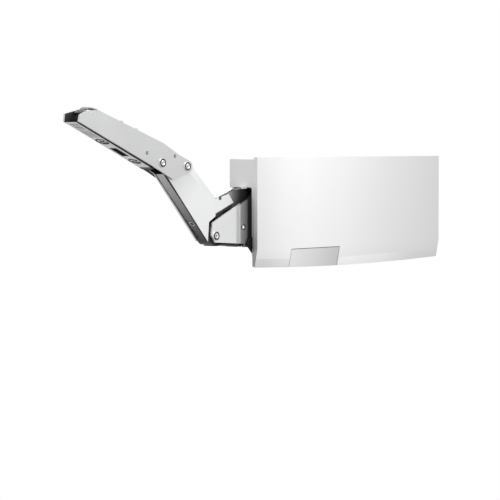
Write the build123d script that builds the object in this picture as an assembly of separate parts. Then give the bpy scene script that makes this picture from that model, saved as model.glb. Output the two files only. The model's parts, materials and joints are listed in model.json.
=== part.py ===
from build123d import *
from math import cos, pi, radians, sin
import os

# Lift-up door mechanism for a wall cabinet, shown with the door arm open.
# Working coordinates: X runs along the housing from its front end, Z is up from the cover's top edge,
# and a depth is measured from the cabinet wall (depth 0) towards the middle of the cabinet (-Y).
# At the end everything is shifted so that the origin is the centre of the four cabinet screws.

# Housing
COVER_LENGTH = 262.2
COVER_HEIGHT = 89.0
COVER_BOW = 2.4
COVER_SKIN = 1.8
COVER_WALL = 2.0
COVER_DEPTH = 3.6
BAND_HEIGHT = 15.0
BAND_SETBACK = 2.8
BADGE_START = 46.2
BADGE_LENGTH = 66.0
BADGE_THICKNESS = 0.9
BADGE_GAP = 0.5
WALL_PLATE = 2.0
NEAR_PLATE = 2.0
HOUSING_GAP = 0.6
PLATE_START = 3.0
PLATE_INSET = 3.0
FLANGE = 1.5
CAP_TOP = -1.2
CAP_DROP = 23.2
CAP_WALL = 2.4
CAP_STRIP = 2.4
CAP_STRIP_FOOT = -76.0
POST_RADIUS = 2.6
HOLE_GRID = 32.0
FRONT_SCREW = 52.0
REAR_MARGIN = 16.0
SCREW_SPAN_X = HOLE_GRID * int((COVER_LENGTH - FRONT_SCREW - REAR_MARGIN) / HOLE_GRID)
SCREW_SPAN_Z = 2 * HOLE_GRID
SCREW_RADIUS = 2.5
SCREW_HEAD_RADIUS = 4.6
DRIVER_HOLE_RADIUS = 5.5
SCREW_CENTRE = (FRONT_SCREW + SCREW_SPAN_X / 2, -42.0)

# Pivots with the door open
LEVER_PIVOT = (18.0, -20.5)
CONTROL_PIVOT = (9.5, -8.0)
OUTER_TOP = (-109.3, -3.7)
INNER_TOP = (-79.0, -6.7)
OUTER_FOOT = (-43.2, -62.2)
INNER_FOOT = (OUTER_FOOT[0] + INNER_TOP[0] - OUTER_TOP[0], OUTER_FOOT[1] + INNER_TOP[1] - OUTER_TOP[1])
CONTROL_TIP = (-18.5, -36.0)
ARM_SLOPE = 18.0
CORE_TOP = (-103.2, -12.7)
CORE_FOOT = (-50.0, -65.2)
CAM_FOOT = -15.2

# Sheet thicknesses and widths, from the front arm inwards
FRONT_WIDTH = 16.0
FRONT_SHEET = 1.5
OUTER_SHEET = 1.5
INNER_SHEET = 1.2
INNER_FACE = 0.6
LEVER_SHEET = 1.6
WEB_SHEET = 1.1
SIDE_GAP = 0.3
CAM_SHEET = 1.8
FRONT_CLEAR = FRONT_WIDTH - 2 * FRONT_SHEET
OUTER_WIDTH = FRONT_CLEAR - 2 * SIDE_GAP
OUTER_CLEAR = OUTER_WIDTH - 2 * OUTER_SHEET
LEVER_CLEAR = OUTER_WIDTH + 2 * SIDE_GAP
LEVER_WIDTH = LEVER_CLEAR + 2 * LEVER_SHEET
INNER_WIDTH = OUTER_CLEAR - 2 * SIDE_GAP
INNER_CLEAR = INNER_WIDTH - 2 * INNER_SHEET
CONTROL_WIDTH = INNER_CLEAR - 2 * SIDE_GAP
CAM_WIDTH = LEVER_WIDTH + 2 * CAM_SHEET
CORE_GAP = 0.9
MID_DEPTH = WALL_PLATE + HOUSING_GAP + CAM_WIDTH / 2
HOUSING_DEPTH = MID_DEPTH + CAM_WIDTH / 2 + HOUSING_GAP + NEAR_PLATE

# Pins and rivets
RIVET_HEAD_RADIUS = 3.9
RIVET_HEAD = 1.1
PIN_RADIUS = 2.5
RUNNING_GAP = 0.08
OPEN_PIVOT_GAP = 1.05
STAKE_RADIUS = 0.9
WEB_RIVET_RADIUS = 1.8
WEB_HEAD_RADIUS = 2.8
WEB_HEAD = 0.8
CORE_SCREW_RADIUS = 1.3
CORE_SCREW_HEAD = 2.4
STOP_PIN_RADIUS = 1.2
LATCH_PIN_RADIUS = 0.9
STUB_RADIUS = 4.0
CONTROL_AXLE_RADIUS = 3.0

# Door bracket tray in the front arm, measured along the arm from its inner pivot
TRAY_START = 36.2
TRAY_END = 131.0
TRAY_DROP_START = -13.9
TRAY_DROP_END = -7.4
TRAY_LIP = 0.9
TRAY_REBATE = 0.6
LATCH_WIDTH = 4.0
LATCH_WINDOW = 100.0
TRAY_SLOT = 71.9
HEIGHT_CAM = 93.0
HEIGHT_CAM_RADIUS = 5.0
SIDE_SCREW = 52.7
SIDE_SCREW_RADIUS = 4.6

# Power unit
LIFT_ANGLE = 108.0
ROLLER_RADIUS = 6.0
ROLLER_START = 14.0
ROLLER_TRAVEL = 16.0
ROLLER_PIN_RADIUS = 2.0
ROLLER_WIDTH = 3.0
CAM_GAP = 0.2
CARRIAGE_SHEET = 1.4
CARRIAGE_FACE = 92.0
CARRIAGE_PLATE = 4.0
CARRIAGE_TOP = -12.5
SPRING_RADIUS = 8.4
SPRING_SPACING = 3.2
SPRING_WIRE = 2.2
SPRING_TURNS = 12
SPRING_ROWS = (LEVER_PIVOT[1] - 0.5, LEVER_PIVOT[1] - 0.5 - 2 * SPRING_RADIUS - SPRING_SPACING)
SEAT_GAP = 0.15
ABUTMENT_FACE = COVER_LENGTH - 48.2
ABUTMENT_PLATE = 8.0
DAMPER_RADIUS = 6.0
DAMPER_ROD_RADIUS = 1.6
DAMPER_ROW = SPRING_ROWS[1] - SPRING_RADIUS - DAMPER_RADIUS - 5.6
DAMPER_START = 132.0
DAMPER_END = ABUTMENT_FACE - 18.0
SPINDLE_RADIUS = 3.0
SPINDLE_HEAD_RADIUS = 4.4
SPINDLE_ROW = DAMPER_ROW - DAMPER_RADIUS - SPINDLE_HEAD_RADIUS - 4.8
SPINDLE_START = 104.0
CARRIAGE_FOOT = SPINDLE_ROW + SPINDLE_HEAD_RADIUS + 2.6


def slab(outline, depth_from, depth_to):
    """Extrude an X-Z outline between two depths."""
    return extrude(Plane.XZ.offset(depth_from) * outline, amount=depth_to - depth_from)


def pair(outline, width, sheet):
    """Two equal sheets, one on each side of the mechanism's middle."""
    near = slab(outline, MID_DEPTH + width / 2 - sheet, MID_DEPTH + width / 2)
    far = slab(outline, MID_DEPTH - width / 2, MID_DEPTH - width / 2 + sheet)
    return [far, near]


def disc(centre, radius):
    return Pos(centre[0], centre[1]) * Circle(radius)


def post(centre, radius, depth_from, depth_to):
    """A round bar that runs in the depth direction."""
    return slab(disc(centre, radius), depth_from, depth_to)


def region(*points):
    """A flat face inside straight edges."""
    return make_face(Polyline(*points, close=True))


def block(x_from, x_to, depth_from, depth_to, z_from, z_to):
    """A rectangular piece between two values in each direction."""
    middle = ((x_from + x_to) / 2, -(depth_from + depth_to) / 2, (z_from + z_to) / 2)
    return Pos(*middle) * Box(x_to - x_from, depth_to - depth_from, z_to - z_from)


def rod(row, depth, radius, x_from, x_to):
    """A round bar along X at a height and depth."""
    start = Plane(origin=(x_from, -depth, row), x_dir=(0, 1, 0), z_dir=(1, 0, 0))
    return extrude(start * Circle(radius), amount=x_to - x_from)


def link(start, end, start_radius, end_radius):
    """The outline of a flat link: two round ends and the tangents between them."""
    ends = Sketch() + [disc(start, start_radius), disc(end, end_radius)]
    return make_hull(ends.edges())


def on_arm(along, across):
    """A point on the front arm, from its inner pivot: along towards the tip, across towards the door."""
    slope = radians(ARM_SLOPE)
    x = INNER_TOP[0] - along * cos(slope) + across * sin(slope)
    z = INNER_TOP[1] + along * sin(slope) + across * cos(slope)
    return (x, z)


def arm_plane(along, across, depth):
    """A plane on the arm's underside: its x runs to the tip, its normal points away from the door."""
    x, z = on_arm(along, across)
    slope = radians(ARM_SLOPE)
    return Plane(origin=(x, -depth, z), x_dir=(-cos(slope), 0, sin(slope)), z_dir=(-sin(slope), 0, -cos(slope)))


def rivet_head(centre, face, outwards, radius=RIVET_HEAD_RADIUS, height=RIVET_HEAD):
    """A domed rivet head with a dimple, standing out from a face at one depth."""
    rim = height * 0.45
    profile = make_face(
        [
            Polyline((0, 0), (radius, 0), (radius, rim)),
            RadiusArc((radius, rim), (radius * 0.42, height), radius * 1.3),
            Polyline((radius * 0.42, height), (radius * 0.18, height * 0.5), (0, height * 0.5), (0, 0)),
        ]
    )
    head = revolve(Plane.XZ * profile, Axis.Z)
    seat = Plane(origin=(centre[0], -face, centre[1]), x_dir=(1, 0, 0), z_dir=(0, -outwards, 0))
    return seat * head


def through_rivet(centre, width, radius=PIN_RADIUS):
    """A pin through two sheets, with a head on each outer face."""
    low = MID_DEPTH - width / 2
    high = MID_DEPTH + width / 2
    shank = post(centre, radius, low, high)
    return shank + rivet_head(centre, high, 1) + rivet_head(centre, low, -1)


def bow(x):
    """How far the cover's bottom edge hangs below a straight line at X."""
    half = COVER_LENGTH / 2
    return COVER_BOW * (1 - ((x - half) / half) ** 2)


def cover_outline(inset_ends, top, bottom):
    """The cover's outline: straight top and ends, and a bottom edge bowed downwards."""
    left, right = inset_ends, COVER_LENGTH - inset_ends
    sides = Polyline((right, bottom), (right, top), (left, top), (left, bottom))
    middle = ((left + right) / 2, bottom - bow((left + right) / 2) + bow(left))
    arc = ThreePointArc((left, bottom), middle, (right, bottom))
    return make_face([sides, arc])


def pivot_holes(radii):
    """Round holes to cut, from a list of (centre, radius)."""
    return Sketch() + [disc(centre, radius) for centre, radius in radii]


def screw_places():
    """The four cabinet screws, on the 32 mm hole grid."""
    x, z = SCREW_CENTRE
    steps = [(sx, sz) for sx in (-1, 1) for sz in (-1, 1)]
    return [(x + sx * SCREW_SPAN_X / 2, z + sz * SCREW_SPAN_Z / 2) for sx, sz in steps]


def post_places():
    """Distance posts between the two frame plates, clear of the swing of the levers."""
    top = [(x, -8.8) for x in (78.0, 160.0, COVER_LENGTH - 26.2)]
    bottom = [(x, -83.6) for x in (135.0, COVER_LENGTH - 62.2)]
    return top + bottom + [(COVER_LENGTH - 9.2, z) for z in (-30.0, -64.0)]


def frame_outline():
    """The outline that both frame plates share."""
    top = -PLATE_INSET
    bottom = -COVER_HEIGHT + PLATE_INSET
    outline = cover_outline(PLATE_INSET, top, bottom)
    return outline - Pos(0, bottom / 2) * Rectangle(2 * PLATE_START, 4 * COVER_HEIGHT)


def mounting_plate():
    """The steel plate that screws to the cabinet wall, with its folded top and rear flanges."""
    outline = frame_outline() - region((-5, -64), (27, -71.5), (33, -95), (-5, -95))
    outline -= pivot_holes([(place, SCREW_RADIUS) for place in screw_places()])
    outline -= pivot_holes([(LEVER_PIVOT, STUB_RADIUS), (CONTROL_PIVOT, CONTROL_AXLE_RADIUS)])
    outline -= pivot_holes([(place, POST_RADIUS) for place in post_places()])
    plate = slab(outline, 0, WALL_PLATE)
    for x, z in screw_places():
        sink = Plane(origin=(x, -WALL_PLATE, z), x_dir=(1, 0, 0), z_dir=(0, 1, 0))
        depth = SCREW_HEAD_RADIUS - SCREW_RADIUS
        cone = Pos(0, 0, depth * 0.4) * Cone(SCREW_HEAD_RADIUS, SCREW_RADIUS, depth * 0.8)
        plate -= sink * cone
    flange_depth = HOUSING_DEPTH - NEAR_PLATE - SIDE_GAP
    top = block(66, COVER_LENGTH - 13, 0, flange_depth, -PLATE_INSET - FLANGE, -PLATE_INSET)
    rear_x = COVER_LENGTH - PLATE_INSET
    rear = block(rear_x - FLANGE, rear_x, 0, flange_depth, -80, -12)
    return plate + top + rear


def hook_places():
    """Where the cover's snap hooks pass through the near frame plate."""
    top = [(x, -14.0, -1) for x in (130.0, 190.0)]
    bottom = [(x, -70.5, 1) for x in (128.0, COVER_LENGTH - 26.2)]
    return top + bottom


def frame_plate():
    """The near frame plate, with driver holes over the cabinet screws and slots for the snap hooks."""
    outline = frame_outline()
    outline -= pivot_holes([(place, DRIVER_HOLE_RADIUS) for place in screw_places()])
    outline -= pivot_holes([(LEVER_PIVOT, STUB_RADIUS), (CONTROL_PIVOT, CONTROL_AXLE_RADIUS)])
    outline -= pivot_holes([(place, POST_RADIUS) for place in post_places()])
    for x, z, _ in hook_places():
        outline -= Pos(x, z) * Rectangle(9.0, 4.0)
    return slab(outline, HOUSING_DEPTH - NEAR_PLATE, HOUSING_DEPTH)


def frame_posts():
    """Riveted distance posts that hold the plates apart."""
    posts = []
    for place in post_places():
        body = post(place, POST_RADIUS, 0, HOUSING_DEPTH)
        collar = post(place, POST_RADIUS + 1.0, WALL_PLATE, HOUSING_DEPTH - NEAR_PLATE)
        posts.append(body + collar)
    return posts


def front_cap():
    """The moulded cap on the housing's front end, with its strip down the near plate."""
    bottom = CAP_TOP - CAP_DROP
    cap = block(0, CAP_WALL, 0, HOUSING_DEPTH, bottom, CAP_TOP)
    cap += block(0, 9.0, 0, HOUSING_DEPTH, CAP_TOP - 1.4, CAP_TOP)
    inner = HOUSING_DEPTH - CAP_STRIP
    side = Plane(origin=(0, 0, 0), x_dir=(0, -1, 0), z_dir=(-1, 0, 0))
    strip = region(
        (inner, bottom + 1), (HOUSING_DEPTH, bottom + 1), (HOUSING_DEPTH, CAP_STRIP_FOOT), (inner, CAP_STRIP_FOOT + 4)
    )
    cap += extrude(side * strip, amount=-CAP_WALL)
    corner = cap.edges().filter_by(Axis.X).filter_by_position(Axis.Z, bottom - 0.1, bottom + 0.1)
    inner = corner.filter_by_position(Axis.Y, -HOUSING_DEPTH + CAP_STRIP - 0.1, -HOUSING_DEPTH + CAP_STRIP + 0.1)
    cap = fillet(inner, 1.6)
    rim = cap.edges().filter_by(Axis.Y).filter_by_position(Axis.Z, CAP_TOP - 0.1, CAP_TOP + 0.1)
    return fillet(rim.sort_by(Axis.X)[0], 0.8)


def cover_body():
    """The solid outer form of the cover: a flat face over a lower band that slopes back."""
    foot = HOUSING_DEPTH + COVER_DEPTH - BAND_SETBACK
    whole = cover_outline(0, 0, -COVER_HEIGHT)
    face = cover_outline(0, 0, -COVER_HEIGHT + BAND_HEIGHT)
    lower = Plane.XZ.offset(foot) * whole
    upper = Plane.XZ.offset(HOUSING_DEPTH + COVER_DEPTH) * face
    return slab(whole, HOUSING_DEPTH, foot) + loft([lower, upper], ruled=True)


def badge_prism(gap):
    """The part of the band that the badge plate takes up, widened by a gap at its left and top."""
    top = -COVER_HEIGHT + BAND_HEIGHT - bow(BADGE_START) - 0.4 + gap
    left, right = BADGE_START - gap, BADGE_START + BADGE_LENGTH + gap
    return block(left, right, HOUSING_DEPTH - 5, HOUSING_DEPTH + 9, -COVER_HEIGHT - 9, top)


def badge_plate():
    """The bright plate that snaps into the band."""
    body = cover_body()
    return (body & badge_prism(0)) - Pos(0, BADGE_THICKNESS, 0) * body


def cover():
    """The moulded cover: thin face, skirt walls, badge recess and snap hooks."""
    body = cover_body()
    inner_bottom = -COVER_HEIGHT + BAND_HEIGHT + COVER_WALL
    hollow = cover_outline(COVER_WALL, -COVER_WALL, inner_bottom)
    shell = body - slab(hollow, HOUSING_DEPTH, HOUSING_DEPTH + COVER_DEPTH - COVER_SKIN)
    recess = (body & badge_prism(BADGE_GAP)) - Pos(0, BADGE_THICKNESS + 0.1, 0) * body
    shell -= recess
    shell += block(0, COVER_WALL, HOUSING_DEPTH - 1.7, HOUSING_DEPTH + 0.5, -COVER_HEIGHT + 0.6, -COVER_HEIGHT + 12.0)
    for x, z, side in hook_places():
        shell += cover_hook(x, z, side)
    return shell


def cover_hook(x, z, side):
    """One snap hook that reaches through the near plate and grips its inner face."""
    face = HOUSING_DEPTH + COVER_DEPTH - COVER_SKIN
    behind = HOUSING_DEPTH - NEAR_PLATE
    tongue = block(x - 4.0, x + 4.0, behind - 1.2, face, z - 0.7, z + 0.7)
    barb = block(x - 4.0, x + 4.0, behind - 1.2, behind - 0.1, z - 0.7, z + 0.7)
    return tongue + Pos(0, 0, side * 1.2) * barb


def lever_stubs():
    """Two stub axles, one in each frame plate, that carry the main lever and leave the middle free."""
    stubs = []
    for side in (-1, 1):
        inner = LEVER_CLEAR / 2 - SIDE_GAP
        outer = MID_DEPTH
        ends = sorted((MID_DEPTH + side * (inner - 1.2), MID_DEPTH + side * outer))
        shank = post(LEVER_PIVOT, STUB_RADIUS, *ends)
        head = sorted((MID_DEPTH + side * (inner - 1.2), MID_DEPTH + side * inner))
        collar = sorted((MID_DEPTH + side * (CAM_WIDTH / 2 + 0.15), MID_DEPTH + side * (outer - NEAR_PLATE)))
        stubs.append(shank + post(LEVER_PIVOT, 5.4, *head) + post(LEVER_PIVOT, 6.0, *collar))
    return stubs


def control_axle():
    """The fixed pin of the control lever."""
    return post(CONTROL_PIVOT, CONTROL_AXLE_RADIUS, 0, HOUSING_DEPTH)


def control_bushes():
    """Two spacer bushes that centre the control lever on its pin."""
    bore = disc(CONTROL_PIVOT, CONTROL_AXLE_RADIUS)
    ring = disc(CONTROL_PIVOT, 4.6) - bore
    middle = CONTROL_WIDTH / 2 + SIDE_GAP
    far = slab(ring, WALL_PLATE, MID_DEPTH - middle)
    near = slab(ring, MID_DEPTH + middle, HOUSING_DEPTH - NEAR_PLATE)
    return [far, near]


def cam_curve():
    """Points on the cam edge: the roller's path on the turning lever, moved in by the roller's radius."""
    points = []
    rise = ROLLER_TRAVEL / radians(LIFT_ANGLE)
    for step in range(13):
        turn = radians(LIFT_ANGLE) * step / 12
        reach = ROLLER_START + rise * turn
        centre = Vector(reach * cos(turn), -reach * sin(turn))
        tangent = Vector(rise * cos(turn) - reach * sin(turn), -rise * sin(turn) - reach * cos(turn))
        inward = Vector(tangent.Y, -tangent.X).normalized()
        point = centre + inward * (ROLLER_RADIUS + CAM_GAP)
        points.append((LEVER_PIVOT[0] + point.X, LEVER_PIVOT[1] + point.Y))
    return points


def lever_foot():
    """The part of the lever's cheek that the cam plate covers outside the housing."""
    return lever_outline() & Pos(CAM_FOOT + 50, -50) * Rectangle(100, 100)


def cam_outline():
    """The cam and the round boss about the main pivot."""
    curve = cam_curve()
    heel = (curve[-1][0] - 8.0, curve[-1][1] + 0.1)
    edge = Spline(*curve)
    sides = Polyline(curve[-1], heel, (LEVER_PIVOT[0] - 8.0, LEVER_PIVOT[1] - 3.5), LEVER_PIVOT, curve[0])
    boss = disc(LEVER_PIVOT, ROLLER_START - ROLLER_RADIUS - CAM_GAP)
    return make_face([edge, sides]) + boss


def lever_outline():
    """One cheek of the main lever: the wide arm outside the housing and the cam inside it."""
    heel = cam_curve()[-1]
    arm = region(
        (-47.6, -51.6),
        (-2.1, -33.0),
        (LEVER_PIVOT[0] - 8.0, LEVER_PIVOT[1] - 3.5),
        (heel[0] - 2.0, heel[1] + 6.0),
        (heel[0] - 8.0, heel[1]),
        (2.0, -72.8),
        (-8.0, -72.2),
        (-9.0, -69.5),
        (-44.6, -67.4),
        (-49.0, -61.6),
    )
    return arm + cam_outline()


def lever_cheeks():
    """The two steel cheeks of the main lever."""
    holes = pivot_holes(
        [
            (LEVER_PIVOT, STUB_RADIUS + RUNNING_GAP),
            (OUTER_FOOT, PIN_RADIUS),
            (INNER_FOOT, PIN_RADIUS),
            (web_rivet_place(), WEB_RIVET_RADIUS),
        ]
    )
    return pair(lever_outline() - holes, LEVER_WIDTH, LEVER_SHEET)


def cam_plates():
    """Hardened cam plates on the outside of the cheeks, each with a foot that a sunk rivet holds."""
    holes = pivot_holes([(LEVER_PIVOT, STUB_RADIUS + RUNNING_GAP), (web_rivet_place(), WEB_RIVET_RADIUS)])
    plates = pair(lever_foot() - holes, CAM_WIDTH, CAM_SHEET)
    sink = disc(web_rivet_place(), WEB_HEAD_RADIUS + RUNNING_GAP)
    return [plate - sunk for plate, sunk in zip(plates, pair(sink, CAM_WIDTH, WEB_HEAD))]


def web_rivet_place():
    return (-10.3, -56.0)


def lever_web():
    """The dark strip under the lever, with an ear on each side that is riveted to a cheek."""
    strip = region((-41.0, -69.7), (-34.5, -69.0), (-8.6, -70.4), (-8.6, -72.0), (-34.5, -70.2), (-41.0, -70.5))
    base = slab(strip, MID_DEPTH - LEVER_CLEAR / 2, MID_DEPTH + LEVER_CLEAR / 2)
    ear = region((-17.5, -71.2), (-8.6, -71.6), (-5.5, -60.0), (-6.5, -51.5), (-13.5, -51.5), (-16.0, -60.0))
    ear -= disc(INNER_FOOT, PIN_RADIUS)
    ears = pair(ear - disc(web_rivet_place(), WEB_RIVET_RADIUS), LEVER_CLEAR, WEB_SHEET)
    return base + ears[0] + ears[1]


def lever_pins():
    """The riveted pin of the outer arm and the flush pin of the inner arm."""
    flush = post(INNER_FOOT, PIN_RADIUS, MID_DEPTH - LEVER_WIDTH / 2, MID_DEPTH + LEVER_WIDTH / 2)
    return [through_rivet(OUTER_FOOT, LEVER_WIDTH), flush]


def web_rivets():
    """Short rivets through the strip's ear, the cheek and the cam plate, with a head sunk in the plate."""
    rivets = []
    for side in (-1, 1):
        floor = MID_DEPTH + side * (CAM_WIDTH / 2 - WEB_HEAD)
        inner = MID_DEPTH + side * (LEVER_CLEAR / 2 - WEB_SHEET)
        shank = post(web_rivet_place(), WEB_RIVET_RADIUS, *sorted((inner, floor)))
        rivets.append(shank + rivet_head(web_rivet_place(), floor, side, radius=WEB_HEAD_RADIUS, height=WEB_HEAD))
    return rivets


def outer_arm_cheeks():
    """The bright cheeks of the outer arm, notched round the inner arm's upper pin."""
    outline = region(
        (-113.9, -6.9),
        (-112.6, 0.9),
        (-107.5, 1.6),
        (-87.0, -1.5),
        (-70.2, -14.7),
        (-42.0, -38.0),
        (-41.6, -46.6),
        (-49.8, -51.0),
        (-50.3, -57.0),
        (-51.2, -66.6),
        (-103.0, -12.9),
    )
    outline += disc(OUTER_TOP, 5.6)
    outline -= disc(INNER_TOP, PIN_RADIUS + 1.0)
    outline -= disc(OUTER_TOP, PIN_RADIUS + RUNNING_GAP)
    return pair(outline, OUTER_WIDTH, OUTER_SHEET)


def arm_core():
    """The dark core of the outer arm: its closed front, and the eye on the main lever's pin."""
    front = region(CORE_TOP, (-95.5, -12.5), (-52.0, -57.5), (-37.0, -60.0), (-43.2, -69.4), CORE_FOOT)
    outline = front + disc(OUTER_FOOT, 7.2)
    outline -= disc(OUTER_FOOT, PIN_RADIUS + RUNNING_GAP)
    reach = OUTER_CLEAR / 2 - CORE_GAP
    inside = slab(outline, MID_DEPTH - reach, MID_DEPTH + reach)
    inside -= extrude(core_front() * Circle(CORE_SCREW_RADIUS), amount=-5.0)
    eye = disc(OUTER_FOOT, 7.2) - disc(OUTER_FOOT, PIN_RADIUS + RUNNING_GAP)
    eye -= region((-60, -50), (-49.4, -50), (-50.2, -57.0), (-50.9, -67.5), (-60, -67.5))
    return inside + slab(eye, MID_DEPTH - OUTER_WIDTH / 2, MID_DEPTH + OUTER_WIDTH / 2)


def core_front():
    """A plane on the closed front of the core, where its screw sits: its normal points outwards."""
    share = 0.75
    run = Vector(CORE_FOOT[0] - CORE_TOP[0], CORE_FOOT[1] - CORE_TOP[1])
    place = Vector(*CORE_TOP) + run * share
    along = (run.X, 0, run.Y)
    return Plane(origin=(place.X, -MID_DEPTH, place.Y), x_dir=along, z_dir=(run.Y, 0, -run.X))


def core_screw():
    """The small screw in the closed front of the core, with a square recess."""
    seat = core_front()
    screw = extrude(seat * Circle(CORE_SCREW_HEAD), amount=0.5)
    screw += extrude(seat * Circle(CORE_SCREW_RADIUS), amount=-5.0)
    recess = seat.offset(0.5) * (Rot(0, 0, 20) * Rectangle(1.7, 1.7))
    return screw - extrude(recess, amount=-1.4)


def inner_arm():
    """The inner arm: two plates with a tongue, joined at their upper end. The far one takes the steering pin."""
    bar = link(INNER_TOP, INNER_FOOT, 6.2, 4.5)
    tongue = region(
        (-80.0, -0.8),
        (-72.2, -3.6),
        (-39.0, -32.7),
        (-22.3, -29.3),
        (-15.9, -36.7),
        (-18.5, -41.0),
        (-39.1, -46.0),
        (-60.0, -30.0),
    )
    holes = pivot_holes([(INNER_TOP, PIN_RADIUS + RUNNING_GAP), (INNER_FOOT, PIN_RADIUS + RUNNING_GAP)])
    steered = disc(CONTROL_TIP, 5.4) - disc(CONTROL_TIP, PIN_RADIUS + OPEN_PIVOT_GAP)
    outline = bar + tongue - holes
    far = pair(outline - disc(CONTROL_TIP, 5.4) + steered, INNER_WIDTH, INNER_SHEET)[0]
    near = pair(outline, INNER_WIDTH - 2 * INNER_FACE, INNER_SHEET - INNER_FACE)[1]
    eye = disc(INNER_TOP, 4.6) - disc(INNER_TOP, PIN_RADIUS + RUNNING_GAP)
    bridge = slab(eye, MID_DEPTH - INNER_CLEAR / 2, MID_DEPTH + INNER_CLEAR / 2)
    return far + bridge + near


def inner_arm_face():
    """The bright face plate on the inner arm's near side, down to the tongue's angular end."""
    outline = region(
        (-77.5, -1.7),
        (-72.2, -3.6),
        (-39.0, -32.7),
        (-22.3, -29.3),
        (-15.9, -36.3),
        (-39.1, -44.7),
        (-44.0, -40.5),
        (-62.0, -24.5),
        (-76.0, -9.0),
    )
    outline -= disc(INNER_TOP, PIN_RADIUS + 1.0)
    return pair(outline, INNER_WIDTH, INNER_FACE)[1]


def control_lever():
    """The cranked control lever that hangs from the housing and steers the inner arm."""
    foot = region(
        (-33.5, -34.6),
        (-34.6, -32.0),
        (-31.0, -30.4),
        (-16.5, -25.6),
        (3.0, -25.4),
        (3.0, -20.0),
        (4.6, -7.0),
        (14.0, -10.0),
        (8.2, -22.0),
        (2.8, -32.0),
        (-5.0, -37.6),
        (-16.0, -41.2),
        (-22.0, -40.4),
    )
    outline = foot + disc(CONTROL_PIVOT, 5.0)
    outline -= disc(CONTROL_PIVOT, CONTROL_AXLE_RADIUS + RUNNING_GAP)
    outline -= disc(CONTROL_TIP, PIN_RADIUS)
    outline -= disc(stop_pin_place(), STOP_PIN_RADIUS)
    notches = [((-29.4 + 2.1 * step, -29.87 + 0.695 * step), 0.5) for step in range(6)]
    outline -= pivot_holes(notches)
    return slab(outline, MID_DEPTH - CONTROL_WIDTH / 2, MID_DEPTH + CONTROL_WIDTH / 2)


def stop_pin_place():
    return (-32.2, -32.5)


def control_pins():
    """The pin that steers the tongue, and the small stop pin at the lever's tail."""
    steer = post(CONTROL_TIP, PIN_RADIUS, MID_DEPTH - INNER_WIDTH / 2, MID_DEPTH + CONTROL_WIDTH / 2)
    stop = post(stop_pin_place(), STOP_PIN_RADIUS, MID_DEPTH - CONTROL_WIDTH / 2, MID_DEPTH + CONTROL_WIDTH / 2)
    return [steer, stop]


def front_arm_outline(nose):
    """One cheek of the front arm: a straight back, a nose of its own and a rounded pivot end."""
    top = [on_arm(12.0, 5.6), on_arm(33.5, 8.4), on_arm(108.0, 8.5)]
    tip = [on_arm(131.1, -6.5), on_arm(30.0, -13.0), on_arm(13.0, -14.9), on_arm(-2.1, -4.6)]
    back = [on_arm(-2.1, -4.6), on_arm(-6.4, 1.2), on_arm(-1.6, 5.0)]
    edges = [Polyline(*top), nose, Line(nose @ 1, tip[0]), Polyline(*tip), ThreePointArc(*back)]
    return make_face(edges + [Line(back[-1], top[0])])


def front_arm():
    """The front arm: a folded steel channel, open below, with a window in its back for the latch."""
    round_nose = ThreePointArc(on_arm(108.0, 8.5), on_arm(122.5, 5.0), on_arm(131.3, -1.4))
    cut_nose = Polyline(on_arm(108.0, 8.5), on_arm(118.8, 6.9), on_arm(132.2, -0.7))
    near, far = front_arm_outline(round_nose), front_arm_outline(cut_nose)
    shift = on_arm(0, -FRONT_SHEET)
    lowered = Pos(shift[0] - INNER_TOP[0], shift[1] - INNER_TOP[1]) * near
    span = region(on_arm(26, 0), on_arm(26, 12), on_arm(LATCH_WINDOW, 12), on_arm(LATCH_WINDOW, 0))
    fold = slab((near - lowered) & span, MID_DEPTH - FRONT_WIDTH / 2, MID_DEPTH + FRONT_WIDTH / 2)
    for along in (66.3, 84.6):
        lug = [(along - 1.7, 8.0), (along - 1.1, 9.4), (along + 1.1, 9.4), (along + 1.7, 8.0)]
        near += region(*[on_arm(*point) for point in lug])
    holes = pivot_holes([(OUTER_TOP, PIN_RADIUS), (INNER_TOP, PIN_RADIUS), (latch_pivot(), LATCH_PIN_RADIUS)])
    stakes = pivot_holes([(place, STAKE_RADIUS) for place in stake_places()])
    far_cheek = pair(far - holes, FRONT_WIDTH, FRONT_SHEET)[0]
    near_cheek = pair(near - holes - stakes, FRONT_WIDTH, FRONT_SHEET)[1]
    return far_cheek + fold + near_cheek


def front_rivets():
    """The two riveted pins of the front arm."""
    return [through_rivet(OUTER_TOP, FRONT_WIDTH), through_rivet(INNER_TOP, FRONT_WIDTH)]


def stake_places():
    return [on_arm(49.5, -4.8), on_arm(16.9, 3.1)]


def stub_pins():
    """Two small pins staked in the near cheek."""
    inner = MID_DEPTH + FRONT_CLEAR / 2
    return [post(place, STAKE_RADIUS, inner, MID_DEPTH + FRONT_WIDTH / 2 + 0.3) for place in stake_places()]


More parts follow.
